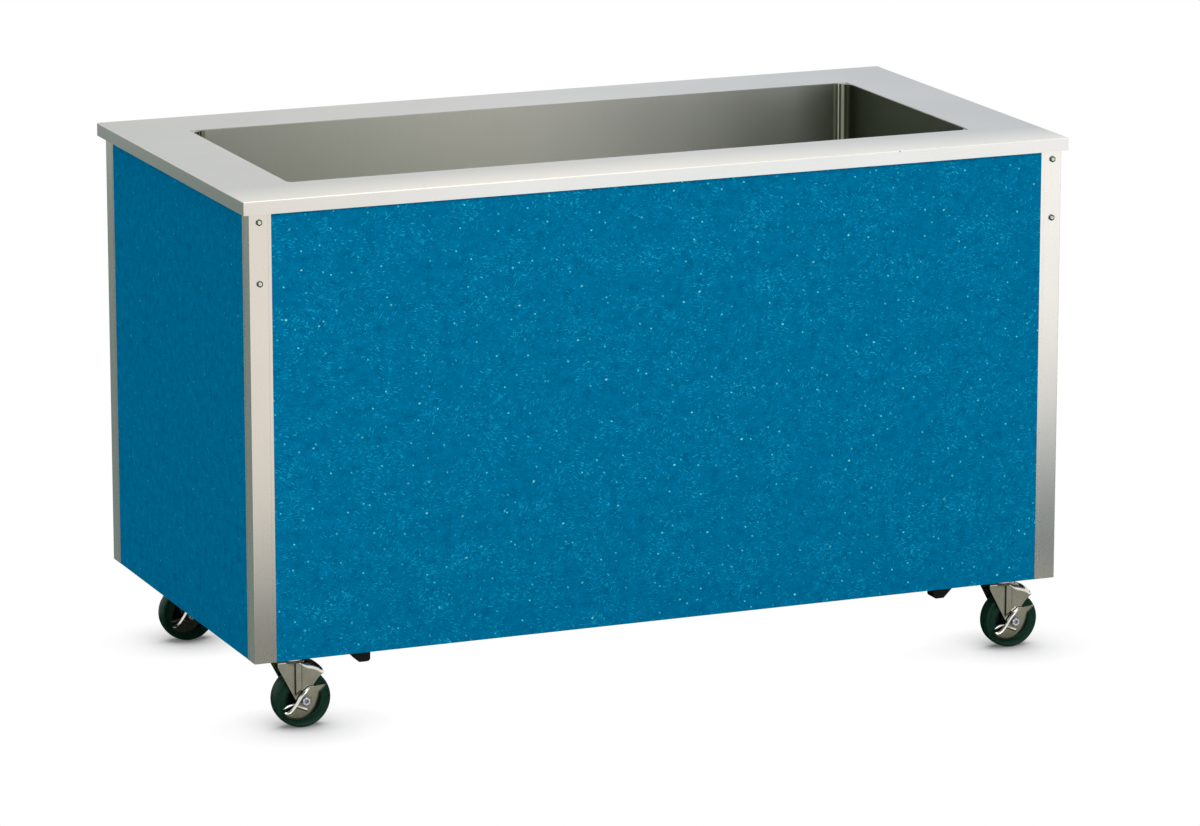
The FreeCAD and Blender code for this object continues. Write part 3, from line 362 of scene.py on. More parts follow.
# painted highlight along the flat face's front edge
rim = add_node(tree, "MapRange", {"Value": apart.outputs[1], "From Min": RIM_REACH[0],
                                  "From Max": RIM_REACH[1], "To Max": RIM_PAINTED_HIGHLIGHT})
flat = add_node(tree, "Mix", {0: rim.outputs[0], 6: flat, 7: bend.outputs[2]}, data_type="RGBA")
whole = add_node(tree, "Mix", {0: upward.outputs[0], 6: side.outputs[2], 7: flat.outputs[2]},
                 data_type="RGBA")
grain_and_painted_light = add_node(tree, "Mix", {0: 1.0, 6: colour, 7: whole.outputs[2]}, data_type="RGBA",
                 blend_type="MULTIPLY")
pits = add_node(tree, "TexVoronoi", {"Vector": place, "Scale": per_mm(PIT_SPACING)})
pit = add_node(tree, "Math", {0: pits.outputs["Distance"], 1: PIT_RADIUS / PIT_SPACING},
               operation="LESS_THAN")
marked = add_node(tree, "Mix", {0: pit.outputs[0], 6: grain_and_painted_light.outputs[2], 7: linear("#77776F")},
                  data_type="RGBA")
tree.links.new(marked.outputs[2], shader.inputs["Base Color"])
print("worktop steel with", len(TOP_PAINTED_LIGHT), "tones")

# %% [markdown]
# The well is satin sheet.  Light falls into it from the left; its long walls are painted darker towards
# the right and towards the floor, and its ends, which face along it, are painted dark.  The floor mirrors
# the sky and is painted darker for that.  The tight upright corners mirror the whole well in narrow
# stripes, which are painted reflections: a ramp over the surface's direction gives those stripes, because
# the corner's curve turns from one wall to the other.

# %% Well finish
# painted light: the long walls are painted darker towards the right
WALL_PAINTED_LIGHT = [(0.0, "#D3D4CE"), (0.30, "#ECECE5"), (0.52, "#FFFEF8"), (0.76, "#FFFFFC"), (0.92, "#FFFFFA"),
              (1.0, "#8E9684")]
# painted shade: the ends are painted dark and the floor is painted darker
WELL_END_PAINTED_SHADE = "#434E3B"
WELL_FLOOR_PAINTED_SHADE = "#9DA099"
# painted shade: the walls darken towards the floor
DEEP_PAINTED_SHADE = 0.15          # how much darker the walls are near the floor
DEEP_REACH = (0.87, 0.72)  # heights from and to which they darken
# painted reflections: stripes standing for the well mirrored in its curved corners
CORNER_PAINTED_REFLECTIONS = [         # how far the corner has turned from the long wall to the end, and its shade
    (0.0, "#9AA290"), (0.06, "#8F9784"), (0.16, "#B9BDA9"), (0.26, "#5F6A5B"), (0.36, "#4C5548"),
    (0.41, "#FFFFFA"), (0.46, "#535A4E"), (0.54, "#535A4E"), (0.60, "#DFE0CA"), (0.72, "#D3D6BE"),
    (0.78, "#47533F"), (0.88, "#6E7966"), (0.95, "#4A5544"), (1.0, WELL_END_PAINTED_SHADE)]

well_steel, tree, shader, place, colour = brushed_steel(
    "stainless_satin_well", "#FFFFFF", "#ECECEC", 2, 0.30)
apart = add_node(tree, "SeparateXYZ", {0: place})
rightward = add_node(tree, "MapRange", {"Value": apart.outputs[0], "From Min": -0.63, "From Max": 0.63})
facing = add_node(tree, "SeparateXYZ", {0: place.node.outputs["Normal"]})
turned = add_node(tree, "Math", {0: facing.outputs["X"]}, operation="ABSOLUTE")
straight = add_node(tree, "ValToRGB", {0: rightward.outputs[0]}, WALL_PAINTED_LIGHT)
corner = add_node(tree, "ValToRGB", {0: turned.outputs[0]}, CORNER_PAINTED_REFLECTIONS)
curved = add_node(tree, "Math", {0: turned.outputs[0], 1: 0.02}, operation="GREATER_THAN")
walls = add_node(tree, "Mix", {0: curved.outputs[0], 6: straight.outputs[0], 7: corner.outputs[0]},
                 data_type="RGBA")
deep = add_node(tree, "MapRange", {"Value": apart.outputs[2], "From Min": DEEP_REACH[0],
                                   "From Max": DEEP_REACH[1], "To Max": DEEP_PAINTED_SHADE})
walls = add_node(tree, "Mix", {0: deep.outputs[0], 6: walls.outputs[2], 7: linear("#000000")},
                 data_type="RGBA")
upward = add_node(tree, "MapRange", {"Value": facing.outputs["Z"], "From Min": 0.4, "From Max": 0.9})
whole = add_node(tree, "Mix", {0: upward.outputs[0], 6: walls.outputs[2], 7: linear(WELL_FLOOR_PAINTED_SHADE)},
                 data_type="RGBA")
grain_and_painted_light = add_node(tree, "Mix", {0: 1.0, 6: colour, 7: whole.outputs[2]}, data_type="RGBA",
                 blend_type="MULTIPLY")
tree.links.new(grain_and_painted_light.outputs[2], shader.inputs["Base Color"])
print("well steel with", len(CORNER_PAINTED_REFLECTIONS), "corner stripes")

# %% [markdown]
# The laminate is a printed sheet under clear matt resin: a felt of short curled fibres in
# several blues, with chips of pale cyan scattered through it.  The print lies flat in the
# sheet, so its pattern is worked out in two directions, along the panel and up it.  Noise
# stretched one way gives fibres; only its highest crests are kept, so that they come out as
# separate strokes.  A broad noise bends them first, and several directions are laid over
# each other in patches.  The chips are the middles of Voronoi cells.

# %% Laminate
STROKE_WIDTH = 1.6         # mm; the real fibres are finer than the picture can show
STROKE_LENGTH = 13.0
STROKE_TILTS = (-36, -14, 12, 62)      # degrees
BEND_SIZE = 34.0
BEND_PUSH = 7.0
PATCH_SIZE = 62.0
BLOTCH_SIZE = 17.0
SPECK_SIZE = 2.6
FELT_SHADES = [(0.34, "#00638C"), (0.45, "#006E9A"), (0.56, "#00739F"), (0.66, "#007AA8")]
STROKE_SHADE = "#1CB8E0"
CHIPS = [                  # spacing and radius in mm, stretch, tilt in degrees, colour
    {"spacing": 27.0, "radius": 2.1, "stretch": 0.62, "tilt": 35, "colour": "#1FAAD2"},
    {"spacing": 44.0, "radius": 2.3, "stretch": 0.75, "tilt": -40, "colour": "#58EAF8"},
    {"spacing": 140.0, "radius": 2.6, "stretch": 0.70, "tilt": 15, "colour": "#9CFFEE"},
]
END_PRINT = 0.35           # how strongly the print shows on the end panels

laminate, tree, shader, place = new_finish("laminate_blue_fibre", Roughness=0.5, Specular_IOR_Level=0.0)
apart = add_node(tree, "SeparateXYZ", {0: place})
along = add_node(tree, "Math", {0: apart.outputs[0], 1: apart.outputs[1]}, operation="ADD")
sheet = add_node(tree, "CombineXYZ", {0: along.outputs[0], 1: apart.outputs[2]})
facing = add_node(tree, "SeparateXYZ", {0: place.node.outputs["Normal"]})
endward = add_node(tree, "Math", {0: facing.outputs["X"]}, operation="ABSOLUTE")
print_depth = add_node(tree, "MapRange", {"Value": endward.outputs[0], "To Min": 1.0,
                                          "To Max": END_PRINT})
bend = add_node(tree, "TexNoise", {"Vector": sheet.outputs[0], "Scale": per_mm(BEND_SIZE), "Detail": 1.0})
centred = add_node(tree, "VectorMath", {0: bend.outputs["Color"], 1: (0.5, 0.5, 0.5)},
                   operation="SUBTRACT")
bent = add_node(tree, "VectorMath", {0: centred.outputs[0], 1: (BEND_PUSH * MM,) * 3,
                                     2: sheet.outputs[0]}, operation="MULTIPLY_ADD")
strokes = 0.0
for step, tilt in enumerate(STROKE_TILTS):
    turned = add_node(tree, "Mapping", {
        "Vector": bent.outputs[0], "Location": (0.31 * step, 0.17 * step, 0),
        "Rotation": (0, 0, math.radians(tilt)), "Scale": (STROKE_LENGTH * MM, STROKE_WIDTH * MM, 1)},
        vector_type="TEXTURE")
    crests = add_node(tree, "TexNoise", {"Vector": turned.outputs[0], "Scale": 1.0, "Detail": 1.0},
                      noise_dimensions="2D")
    stroke = add_node(tree, "MapRange", {"Value": crests.outputs[0], "From Min": 0.67, "From Max": 0.79})
    moved = add_node(tree, "Mapping", {"Vector": sheet.outputs[0], "Location": (0.9 * step, 0, 0)})
    patch = add_node(tree, "TexNoise", {"Vector": moved.outputs[0], "Scale": per_mm(PATCH_SIZE),
                                        "Detail": 1.0})
    strength = add_node(tree, "MapRange", {"Value": patch.outputs[0], "From Min": 0.47, "From Max": 0.64,
                                           "To Min": 0.06})
    shown = add_node(tree, "Math", {0: stroke.outputs[0], 1: strength.outputs[0]}, operation="MULTIPLY")
    strokes = add_node(tree, "Math", {0: strokes, 1: shown.outputs[0]}, operation="MAXIMUM").outputs[0]
blotch = add_node(tree, "TexNoise", {"Vector": sheet.outputs[0], "Scale": per_mm(BLOTCH_SIZE),
                                     "Detail": 2.0})
speck = add_node(tree, "TexNoise", {"Vector": bent.outputs[0], "Scale": per_mm(SPECK_SIZE),
                                    "Detail": 1.0})
mottle = add_node(tree, "Mix", {0: 0.42, 2: blotch.outputs[0], 3: speck.outputs[0]}, data_type="FLOAT")
felt = add_node(tree, "ValToRGB", {0: mottle.outputs[0]}, FELT_SHADES)
strokes = add_node(tree, "Math", {0: strokes, 1: print_depth.outputs[0]}, operation="MULTIPLY")
colour = add_node(tree, "Mix", {0: strokes.outputs[0], 6: felt.outputs[0], 7: linear(STROKE_SHADE)},
                  data_type="RGBA").outputs[2]
for chip in CHIPS:
    turned = add_node(tree, "Mapping", {
        "Vector": sheet.outputs[0], "Rotation": (0, 0, math.radians(chip["tilt"])),
        "Scale": (chip["spacing"] * MM, chip["spacing"] * chip["stretch"] * MM, 1)}, vector_type="TEXTURE")
    cells = add_node(tree, "TexVoronoi", {"Vector": turned.outputs[0], "Scale": 1.0},
                     voronoi_dimensions="2D")
    inside = add_node(tree, "MapRange", {
        "Value": cells.outputs["Distance"], "From Min": chip["radius"] / chip["spacing"],
        "From Max": 0.45 * chip["radius"] / chip["spacing"]})
    lot = add_node(tree, "SeparateColor", {0: cells.outputs["Color"]})
    strength = add_node(tree, "MapRange", {"Value": lot.outputs[1], "From Min": 0.15, "To Max": 1.0})
    shown = add_node(tree, "Math", {0: inside.outputs[0], 1: strength.outputs[0]}, operation="MULTIPLY")
    shown = add_node(tree, "Math", {0: shown.outputs[0], 1: print_depth.outputs[0]}, operation="MULTIPLY")
    colour = add_node(tree, "Mix", {0: shown.outputs[0], 6: colour, 7: linear(chip["colour"])},
                      data_type="RGBA").outputs[2]
tree.links.new(colour, shader.inputs["Base Color"])
bump = add_node(tree, "Bump", {"Height": mottle.outputs[0], "Strength": 0.08, "Distance": 0.1 * MM})
tree.links.new(bump.outputs[0], shader.inputs["Normal"])
print("laminate with", len(STROKE_TILTS), "directions of fibres and", len(CHIPS), "kinds of chips")

# %% [markdown]
# Galvanised sheet carries a coat of zinc that froze in flat crystals.  Voronoi cells give
# each crystal its own shade.

# %% Galvanised sheet
SPANGLE = 14.0             # mm

galvanised, tree, shader, place = new_finish("galvanised_sheet", Metallic=1.0, Roughness=0.42)
crystals = add_node(tree, "TexVoronoi", {"Vector": place, "Scale": per_mm(SPANGLE)})
shade = add_node(tree, "SeparateColor", {0: crystals.outputs["Color"]})
mixed = add_node(tree, "Mix", {0: shade.outputs[0], 6: linear("#9A9E9F"), 7: linear("#B9BCBB")},
                 data_type="RGBA")
tree.links.new(mixed.outputs[2], shader.inputs["Base Color"])
dull = add_node(tree, "MapRange", {"Value": shade.outputs[1], "To Min": 0.34, "To Max": 0.52})
tree.links.new(dull.outputs[0], shader.inputs["Roughness"])
print("galvanised sheet ready")

# %% [markdown]
# The smaller finishes share one pattern: a base colour mottled by noise at a real size,
# with the roughness following it.  Bright zinc on the casters' pressings is smooth and
# slightly yellow; the bolts are duller; moulded rubber and plastic have no metal in them.
# Painted shade: each finish is darkened where another surface is close, as shade falls in crevices.  The
# steep flanks of the pressings' ribs and folds are darkened too, a painted reflection of the dark below
# the cart.

# %% Small finishes
# reach and strength of the painted shade in crevices
CREVICE_SHADE_REACH = 7.0              # mm
CREVICE_SHADE_KEPT = 0.25                # how much of the colour is left in a crevice
SMALL_FINISHES = {         # pale and dark shade, mottle size in mm, metallic, roughness, specular level
    # bright passivated zinc on pressed steel: sharp reflections with a faint warm bloom
    "zinc_plated_pressing": ("#EEECE3", "#D3D0C5", 16.0, 1.0, 0.22, 0.5),
    # zinc on bolts and nuts: a little duller
    "zinc_plated_bolt": ("#DCE0E2", "#BFC3C4", 5.0, 1.0, 0.25, 0.5),
    # the axle's bolt and nut, a paler and duller coat of zinc
    "zinc_plated_axle": ("#EEF0FA", "#C2C6D2", 5.0, 0.45, 0.34, 0.5),
    # moulded rubber tyre: nearly black with a green cast and dull
    "rubber_moulded": ("#163F2E", "#0C281D", 9.0, 0.0, 0.42, 0.12),
    # moulded polypropylene wheel centre: dark, with a soft shine
    "polypropylene_moulded": ("#0C1A16", "#07110E", 12.0, 0.0, 0.30, 0.2),
    # nylon mouldings under the shelf: dark and matt
    "nylon_moulded": ("#1B1D1C", "#101211", 8.0, 0.0, 0.40, 0.2),
    # polyurethane foam, foamed in place: straw-coloured and quite dull
    "polyurethane_foam": ("#E5D6A4", "#CDBB84", 4.0, 0.0, 0.95, 0.2),
    # nickel-plated brass fittings: a warm grey metal
    "nickel_plated_brass": ("#CFC8B6", "#B3AC9B", 10.0, 1.0, 0.27, 0.5),
    # dipped vinyl grip: black with a soft shine
    "vinyl_dipped": ("#26282A", "#191B1C", 7.0, 0.0, 0.38, 0.4),
}
finishes = {}
for name, (pale, dark, size, metallic, roughness, level) in SMALL_FINISHES.items():
    material, tree, shader, place = new_finish(name, Metallic=metallic, Roughness=roughness,
                                               Specular_IOR_Level=level)
    mottle = add_node(tree, "TexNoise", {"Vector": place, "Scale": per_mm(size), "Detail": 4.0})
    mottled = add_node(tree, "Mix", {0: mottle.outputs[0], 6: linear(dark),
                                     7: linear(pale)}, data_type="RGBA")
    # painted shade: the colour darkens where another surface is close
    close = add_node(tree, "AmbientOcclusion", {"Distance": CREVICE_SHADE_REACH * MM}, samples=8)
    crevice_shade_mask = add_node(tree, "MapRange", {"Value": close.outputs["AO"], "From Min": 0.35, "From Max": 0.95})
    crevice_shade_colour = tuple(CREVICE_SHADE_KEPT * value for value in linear(dark)[:3]) + (1.0,)
    crevice_shaded = add_node(tree, "Mix", {0: crevice_shade_mask.outputs[0], 6: crevice_shade_colour, 7: mottled.outputs[2]},
                    data_type="RGBA")
    tree.links.new(crevice_shaded.outputs[2], shader.inputs["Base Color"])
    # painted reflection: steep flanks facing along the cart are darkened, as they mirror the dark below it
    if name == "zinc_plated_pressing":
        facing = add_node(tree, "SeparateXYZ", {0: place.node.outputs["Normal"]})
        sideways = add_node(tree, "Math", {0: facing.outputs["X"]}, operation="ABSOLUTE")
        lying = add_node(tree, "Math", {0: facing.outputs["Z"]}, operation="ABSOLUTE")
        steep = add_node(tree, "MapRange", {"Value": sideways.outputs[0], "From Min": 0.30,
                                            "From Max": 0.60})
        upright = add_node(tree, "MapRange", {"Value": lying.outputs[0], "From Min": 0.30,
                                              "From Max": 0.12})
        both = add_node(tree, "Math", {0: steep.outputs[0], 1: upright.outputs[0]}, operation="MULTIPLY")
        shaded = add_node(tree, "Mix", {0: both.outputs[0], 6: crevice_shaded.outputs[2], 7: crevice_shade_colour},
                          data_type="RGBA")
        tree.links.new(shaded.outputs[2], shader.inputs["Base Color"])
    dull = add_node(tree, "MapRange", {"Value": mottle.outputs[0], "To Min": roughness - 0.08,
                                       "To Max": roughness + 0.08})
    tree.links.new(dull.outputs[0], shader.inputs["Roughness"])
    fine = add_node(tree, "TexNoise", {"Vector": place, "Scale": per_mm(size / 12), "Detail": 2.0})
    bump = add_node(tree, "Bump", {"Height": fine.outputs[0], "Strength": 0.1, "Distance": 0.1 * MM})
    tree.links.new(bump.outputs[0], shader.inputs["Normal"])
    finishes[name] = material
print("small finishes:", len(finishes))

# %% [markdown]
# The posts' bolt heads are small mirrors.  Their flat middles show the bright studio, and their sloping
# rims carry a painted reflection of the dark floor: the rim is painted darker than the middle.

# %% Bolt heads
bolt_head, tree, shader, place = new_finish("zinc_plated_bolt_head", Metallic=1.0, Roughness=0.30)
facing = add_node(tree, "SeparateXYZ", {0: place.node.outputs["Normal"]})
frontal = add_node(tree, "Math", {0: facing.outputs["Y"]}, operation="ABSOLUTE")
middle = add_node(tree, "MapRange", {"Value": frontal.outputs[0], "From Min": 0.86, "From Max": 0.97})
plating = add_node(tree, "TexNoise", {"Vector": place, "Scale": per_mm(2.5), "Detail": 3.0})
pale = add_node(tree, "Mix", {0: plating.outputs[0], 6: linear("#B4C4B2"), 7: linear("#DCE8DC")},
                data_type="RGBA")
# painted reflection: the sloping rim is painted dark, the flat middle pale
rim_painted_reflection = add_node(tree, "Mix", {0: middle.outputs[0], 6: linear("#39423A"), 7: pale.outputs[2]},
                  data_type="RGBA")
tree.links.new(rim_painted_reflection.outputs[2], shader.inputs["Base Color"])
print("bolt head finish ready")

# %% [markdown]
# Each part names the slot that its finish comes from, so the finishes are handed out by
# slot.

# %% Hand out the finishes
SLOT_FINISH = {
    "stainless_top": top_steel,
    "stainless_well": well_steel,
    "stainless_post": post_steel,
    "galvanised": galvanised,
    "laminate": laminate,
    "foam": finishes["polyurethane_foam"],
    "zinc": finishes["zinc_plated_bolt"],
    "tyre": finishes["rubber_moulded"],
    "hub": finishes["polypropylene_moulded"],
    "black_moulding": finishes["nylon_moulded"],
    "nickel": finishes["nickel_plated_brass"],
    "grip": finishes["vinyl_dipped"],
}
for part in frame["record"]["subparts"]:
    for slot in frame["nodes"][part["node"]].material_slots:
        slot.material = SLOT_FINISH[part["material_slot"]]

plated = finishes["zinc_plated_pressing"]

# %% [markdown]
# The casters and the bolts show bends, chamfers and pressings that plain solids lack, so
# they are drawn again here as fine surfaces.  Every surface is a grid of points worked out
# by a formula, and three helpers turn grids into closed meshes: a lathe for rings, a
# spindle for bolts, and a shell for pressed sheet.

# %% Mesh helpers
SHARP = 38                 # degrees; softer edges are shaded smooth


def grid_faces(rows, columns, ring=False, closed=False):
    """Four-sided faces over points numbered row by row; ring joins the last column to the
    first, and closed joins the last row to the first."""
    row, column = np.meshgrid(np.arange(rows if closed else rows - 1),
                              np.arange(columns if ring else columns - 1), indexing="ij")
    below = (row + 1) % rows * columns
    beside = (column + 1) % columns
    row = row * columns
    return np.stack([row + column, row + beside, below + beside, below + column], -1).reshape(-1, 4)


def outward(points, faces):
    """The faces, turned over if their normals point inwards (negative enclosed volume)."""
    first, second, third = (points[[face[i] for face in faces]] for i in range(3))
    last = points[[face[-1] for face in faces]]
    volume = np.einsum("ij,ij->", first, np.cross(second, third) + np.cross(third, last))
    return [tuple(face) if volume > 0 else tuple(face)[::-1] for face in faces]


def lathe(profile, centre, axis, steps=96):
    """A ring: a closed profile of (radius, along) turned about an axis (1 for Y, 2 for Z)."""
    turn = np.linspace(0, 2 * np.pi, steps, endpoint=False)
    radius, along = np.asarray(profile, float).T
    points = np.empty((len(profile), steps, 3))
    points[..., 0] = radius[:, None] * np.cos(turn)
    points[..., 3 - axis] = radius[:, None] * np.sin(turn)
    points[..., axis] = along[:, None]
    points = points.reshape(-1, 3) + centre
    return points, outward(points, grid_faces(len(profile), steps, ring=True, closed=True))


def spindle(levels, half_flats, centre, steps=72):
    """A bolt along Y: each level is (along, radius, hexagonal), and both ends are closed.
    A hexagonal level follows the flats, half_flats / cos(angle from the nearest flat's
    middle), cut off at the radius, which gives the chamfer's curved edges."""
    turn = np.linspace(0, 2 * np.pi, steps, endpoint=False)
    flats = half_flats / np.cos((turn % (np.pi / 3)) - np.pi / 6)
    points = []
    for along, radius, hexagonal in levels:
        reach = np.minimum(flats, radius) if hexagonal else np.full(steps, radius)
        points.append(np.stack([reach * np.sin(turn), np.full(steps, along), reach * np.cos(turn)], -1))
    poles = np.array([(0, levels[0][0], 0), (0, levels[-1][0], 0)], float)
    points = np.concatenate([np.concatenate(points), poles]) + centre
    faces = [tuple(face) for face in grid_faces(len(levels), steps, ring=True)]
    last = (len(levels) - 1) * steps
    for step in range(steps):
        beyond = (step + 1) % steps
        faces.append((beyond, step, len(points) - 2))
        faces.append((last + step, last + beyond, len(points) - 1))
    return points, outward(points, faces)


def shell(front, back):
    """Closed sheet between two grids of the same size, joined along their borders."""
    rows, columns, _ = front.shape
    count = rows * columns
    points = np.concatenate([front.reshape(-1, 3), back.reshape(-1, 3)])
    border = np.concatenate([np.arange(columns), np.arange(2, rows + 1) * columns - 1,
                             (rows - 1) * columns + np.arange(columns - 2, -1, -1),
                             np.arange(rows - 2, 0, -1) * columns])
    beside = np.roll(border, -1)
    rim = np.stack([beside, border, border + count, beside + count], -1)
    faces = np.concatenate([grid_faces(rows, columns), grid_faces(rows, columns)[:, ::-1] + count, rim])
    return points, outward(points, faces)


def normals(grid):
    """Unit normals of a grid of points."""
    across = np.cross(np.gradient(grid, axis=0), np.gradient(grid, axis=1))
    return across / np.linalg.norm(across, axis=2, keepdims=True)


def smooth_line(knots, count):
    """Points along a smooth curve through knots: a cubic with the slopes of its neighbours."""
    knots = np.asarray(knots, float)
    slopes = np.gradient(knots, axis=0)
    at = np.linspace(0, len(knots) - 1, count)
    leg = np.minimum(at.astype(int), len(knots) - 2)
    t = (at - leg)[:, None]
    return ((1 + 2 * t) * (1 - t) ** 2 * knots[leg] + t * (1 - t) ** 2 * slopes[leg]
            + t ** 2 * (3 - 2 * t) * knots[leg + 1] + t ** 2 * (t - 1) * slopes[leg + 1])


def ease(values, low, high):
    """0 below low, 1 above high, and a smooth step between."""
    t = np.clip((np.asarray(values, float) - low) / (high - low), 0, 1)
    return t * t * (3 - 2 * t)


def joined(solids):
    """Several (points, faces) pairs as one."""
    points, faces = [], []
    for solid_points, solid_faces in solids:
        start = sum(len(group) for group in points)
        points.append(solid_points)
        faces.extend(tuple(int(corner) + start for corner in face) for face in solid_faces)
    return np.concatenate(points), faces


def add_piece(name, solids, finish, body, node):
    """A named object from closed solids in millimetres, in the place of a node."""
    points, faces = joined(solids)
    mesh = bpy.data.meshes.new(name)
    mesh.from_pydata((points * MM).tolist(), [], faces)
    mesh.polygons.foreach_set("use_smooth", np.ones(len(faces), bool))
    mesh.set_sharp_from_angle(angle=math.radians(SHARP))
    mesh.materials.append(finish)
    piece = bpy.data.objects.new(name, mesh)
    bpy.context.scene.collection.objects.link(piece)
    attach(piece, body)
    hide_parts(node)
    return piece


print("mesh helpers ready")

# %% [markdown]
# A tyre is moulded rubber: a slightly crowned tread with rounded shoulders, and side
# walls that are hollow next to a raised bead at the wheel centre.  The wheel centre has a
# rim, a dished web and a long boss, all with soft moulded corners.

# %% Wheels
WHEEL_RADIUS = 50.8
TREAD_HALF = 15.0
TREAD_CROWN = 0.7          # how much lower the tread is at its shoulders
HUB_RADIUS = 31.0
HUB_HALF = 14.0
BOSS_RADIUS = 12.0
BOSS_HALF = 17.5
WEB_HALF = 7.0
BORE_RADIUS = 6.05
TYRE_GAP = 0.05            # between the tyre and the wheel centre


def tyre_profile():
    """(radius, along) from the bore, out over one side wall, across the tread and back."""
    bore = HUB_RADIUS + TYRE_GAP
    wall = [(bore, 13.6), (bore + 1.2, 14.6), (bore + 3.0, 14.75), (bore + 4.6, 14.1), (40.0, 13.7),
            (44.0, 14.2), (46.2, TREAD_HALF), (48.3, 14.2), (49.7, 12.3)]
    crown = [(WHEEL_RADIUS - TREAD_CROWN, 9.5), (WHEEL_RADIUS, 3.0)]
    half = smooth_line(wall + crown, 56)
    return np.concatenate([half, half[::-1] * (1, -1)])


def hub_profile():
    """(radius, along) from the bore, over the boss, web and rim of one side, and back."""
    side = [(BORE_RADIUS, 16.7), (7.2, BOSS_HALF), (10.6, 17.4), (BOSS_RADIUS, 16.2), (12.6, 11.0),
            (14.4, 7.6), (17.5, WEB_HALF), (23.0, WEB_HALF), (25.4, 7.8), (26.4, 10.6), (27.2, 13.2),
            (28.2, HUB_HALF), (29.8, HUB_HALF), (HUB_RADIUS, 13.2)]
    half = smooth_line(side, 76)
    return np.concatenate([half, half[::-1] * (1, -1)])


print("tyre profile points:", len(tyre_profile()), "hub profile points:", len(hub_profile()))

# %% [markdown]
# The fork is one pressing of 3 mm sheet.  Seen from the side, each leg is a V that ends
# round the axle, with an upright rib, and the crown turns down at the back as a skirt
# over the wheel.  Its section across the wheel is a U.  Each column of the grid is that U
# at one distance along the fork, and its feet lie on the leg's lower outline.

# %% Forks
CROWN_TOP = 122.4
FORK_HALF = 21.0           # outer faces of the legs
FORK_SHEET = 3.0
AXLE_PLACE = (16.5, 50.8)  # along and up, from the floor under the swivel axis
LEG_END = 13.0
LEG_FRONT = (-30.5, 112.5)            # upper front corner of the leg
LEG_REAR = [(31.0, 70.0), (35.0, 79.5), (43.0, 89.0), (52.0, 96.0)]
CROWN_BEND = 4.0
CROWN_SAG = 3.5
SKIRT_DROP = 22.0
SKIRT_BEND = 13.0
RIB = (-1.5, 11.8)         # from and to, along the fork
RIB_FLANKS = (2.5, 1.9)    # widths of its two flanks
RIB_RAISE = 3.6
RIB_FOOT = 60.0
RIB_FOOT_SLOPE = 0.7
RACE_LATHE = [             # lower ball race on the crown: radius and height
    (11, 118), (25.5, 118), (26.8, 120.5), (25.2, 121.5), (24.2, 122.4), (24, 123.6), (22.8, 124.4),
    (20.6, 123.6), (18.8, 122.6), (17.2, 122.6), (15.4, 123.6), (13.2, 124.4), (11, 123.8)]


def leg_outline():
    """Lower edge of a leg, from its front corner down round the axle and up to the skirt:
    a straight run that touches the round end, its arc, and a smooth rear edge."""
    run = np.subtract(LEG_FRONT, AXLE_PLACE)
    distance = math.hypot(*run)
    touch = math.atan2(run[1], run[0]) + math.acos(LEG_END / distance)
    arc = np.linspace(touch, 2 * math.pi - 0.12, 30)
    bottom = np.stack([np.cos(arc), np.sin(arc)], -1) * LEG_END + AXLE_PLACE
    front = np.linspace(LEG_FRONT, bottom[0], 40)[:-1]
    rear = smooth_line([bottom[-1]] + LEG_REAR, 34)[1:]
    return np.concatenate([front, bottom, rear])


def crown_height(along):
    """Top of the crown: level, then down by a quarter ellipse over the wheel."""
    fall = np.clip((along - RIB[1]) / (LEG_REAR[-1][0] - RIB[1]), 0, 1)
    return CROWN_TOP - CROWN_SAG * ease(along, 2, 16) - SKIRT_DROP * (1 - np.sqrt(1 - fall ** 2))


def fork_surfaces():
    """Outer and inner grids of the fork; rows run along it, columns round the U."""
    outline = leg_outline()
    extra = np.arange(RIB[0] - 0.6, RIB[1] + 1.0, 0.4)
    along = np.union1d(outline[:, 0], extra)
    along = along[np.append(True, np.diff(along) > 0.05)]
    foot = np.interp(along, outline[:, 0], outline[:, 1])
    top = crown_height(along)
    bend = CROWN_BEND + (SKIRT_BEND - CROWN_BEND) * ease(along, RIB[1] - 8, RIB[1] + 14)
    bend = np.minimum(bend, 0.96 * (top - foot))
    leg = np.linspace(0, 1, 26)
    corner = np.linspace(0, np.pi / 2, 13)[1:]
    height = np.concatenate([foot + leg[:, None] * (top - bend - foot),
                             top - bend + np.sin(corner)[:, None] * bend])
    width = np.concatenate([np.full((len(leg), len(along)), FORK_HALF),
                            FORK_HALF - (1 - np.cos(corner))[:, None] * bend])
    crown = np.linspace(1, -1, 17)[1:-1, None] * width[-1]
    width = np.concatenate([width, crown, -width[::-1]])
    height = np.concatenate([height, np.tile(top, (len(crown), 1)), height[::-1]])
    base = np.stack([np.tile(along, (len(width), 1)), -width, height], -1).transpose(1, 0, 2)
    side = np.clip(width.T / FORK_HALF, -1, 1)
    flank = (ease(base[..., 0], RIB[0], RIB[0] + RIB_FLANKS[0])
             - ease(base[..., 0], RIB[1] - RIB_FLANKS[1], RIB[1]))
    slant = RIB_FOOT + RIB_FOOT_SLOPE * (base[..., 0] - RIB[0])
    raised = RIB_RAISE * flank * ease(base[..., 2], slant, slant + 2.2) * ease(np.abs(side), 0.6, 0.95)
    outer = base - np.stack([0 * raised, raised * np.sign(side), 0 * raised], -1)
    facing = normals(base)
    middle = facing[len(facing) // 2, facing.shape[1] // 2]
    inner = base - facing * FORK_SHEET * np.sign(middle[2])
    return outer, inner


print("fork outline points:", len(leg_outline()))

# %% [markdown]
# The brake lever is a leaf of 2.5 mm sheet pressed over the axle.  Its upper edge is
# folded outwards into a tall bright flange, its belly follows the wheel centre, and its
# upper right end is the tab for a foot.  One direction of the grid runs from heel to
# toe, the other from the fold to the belly.

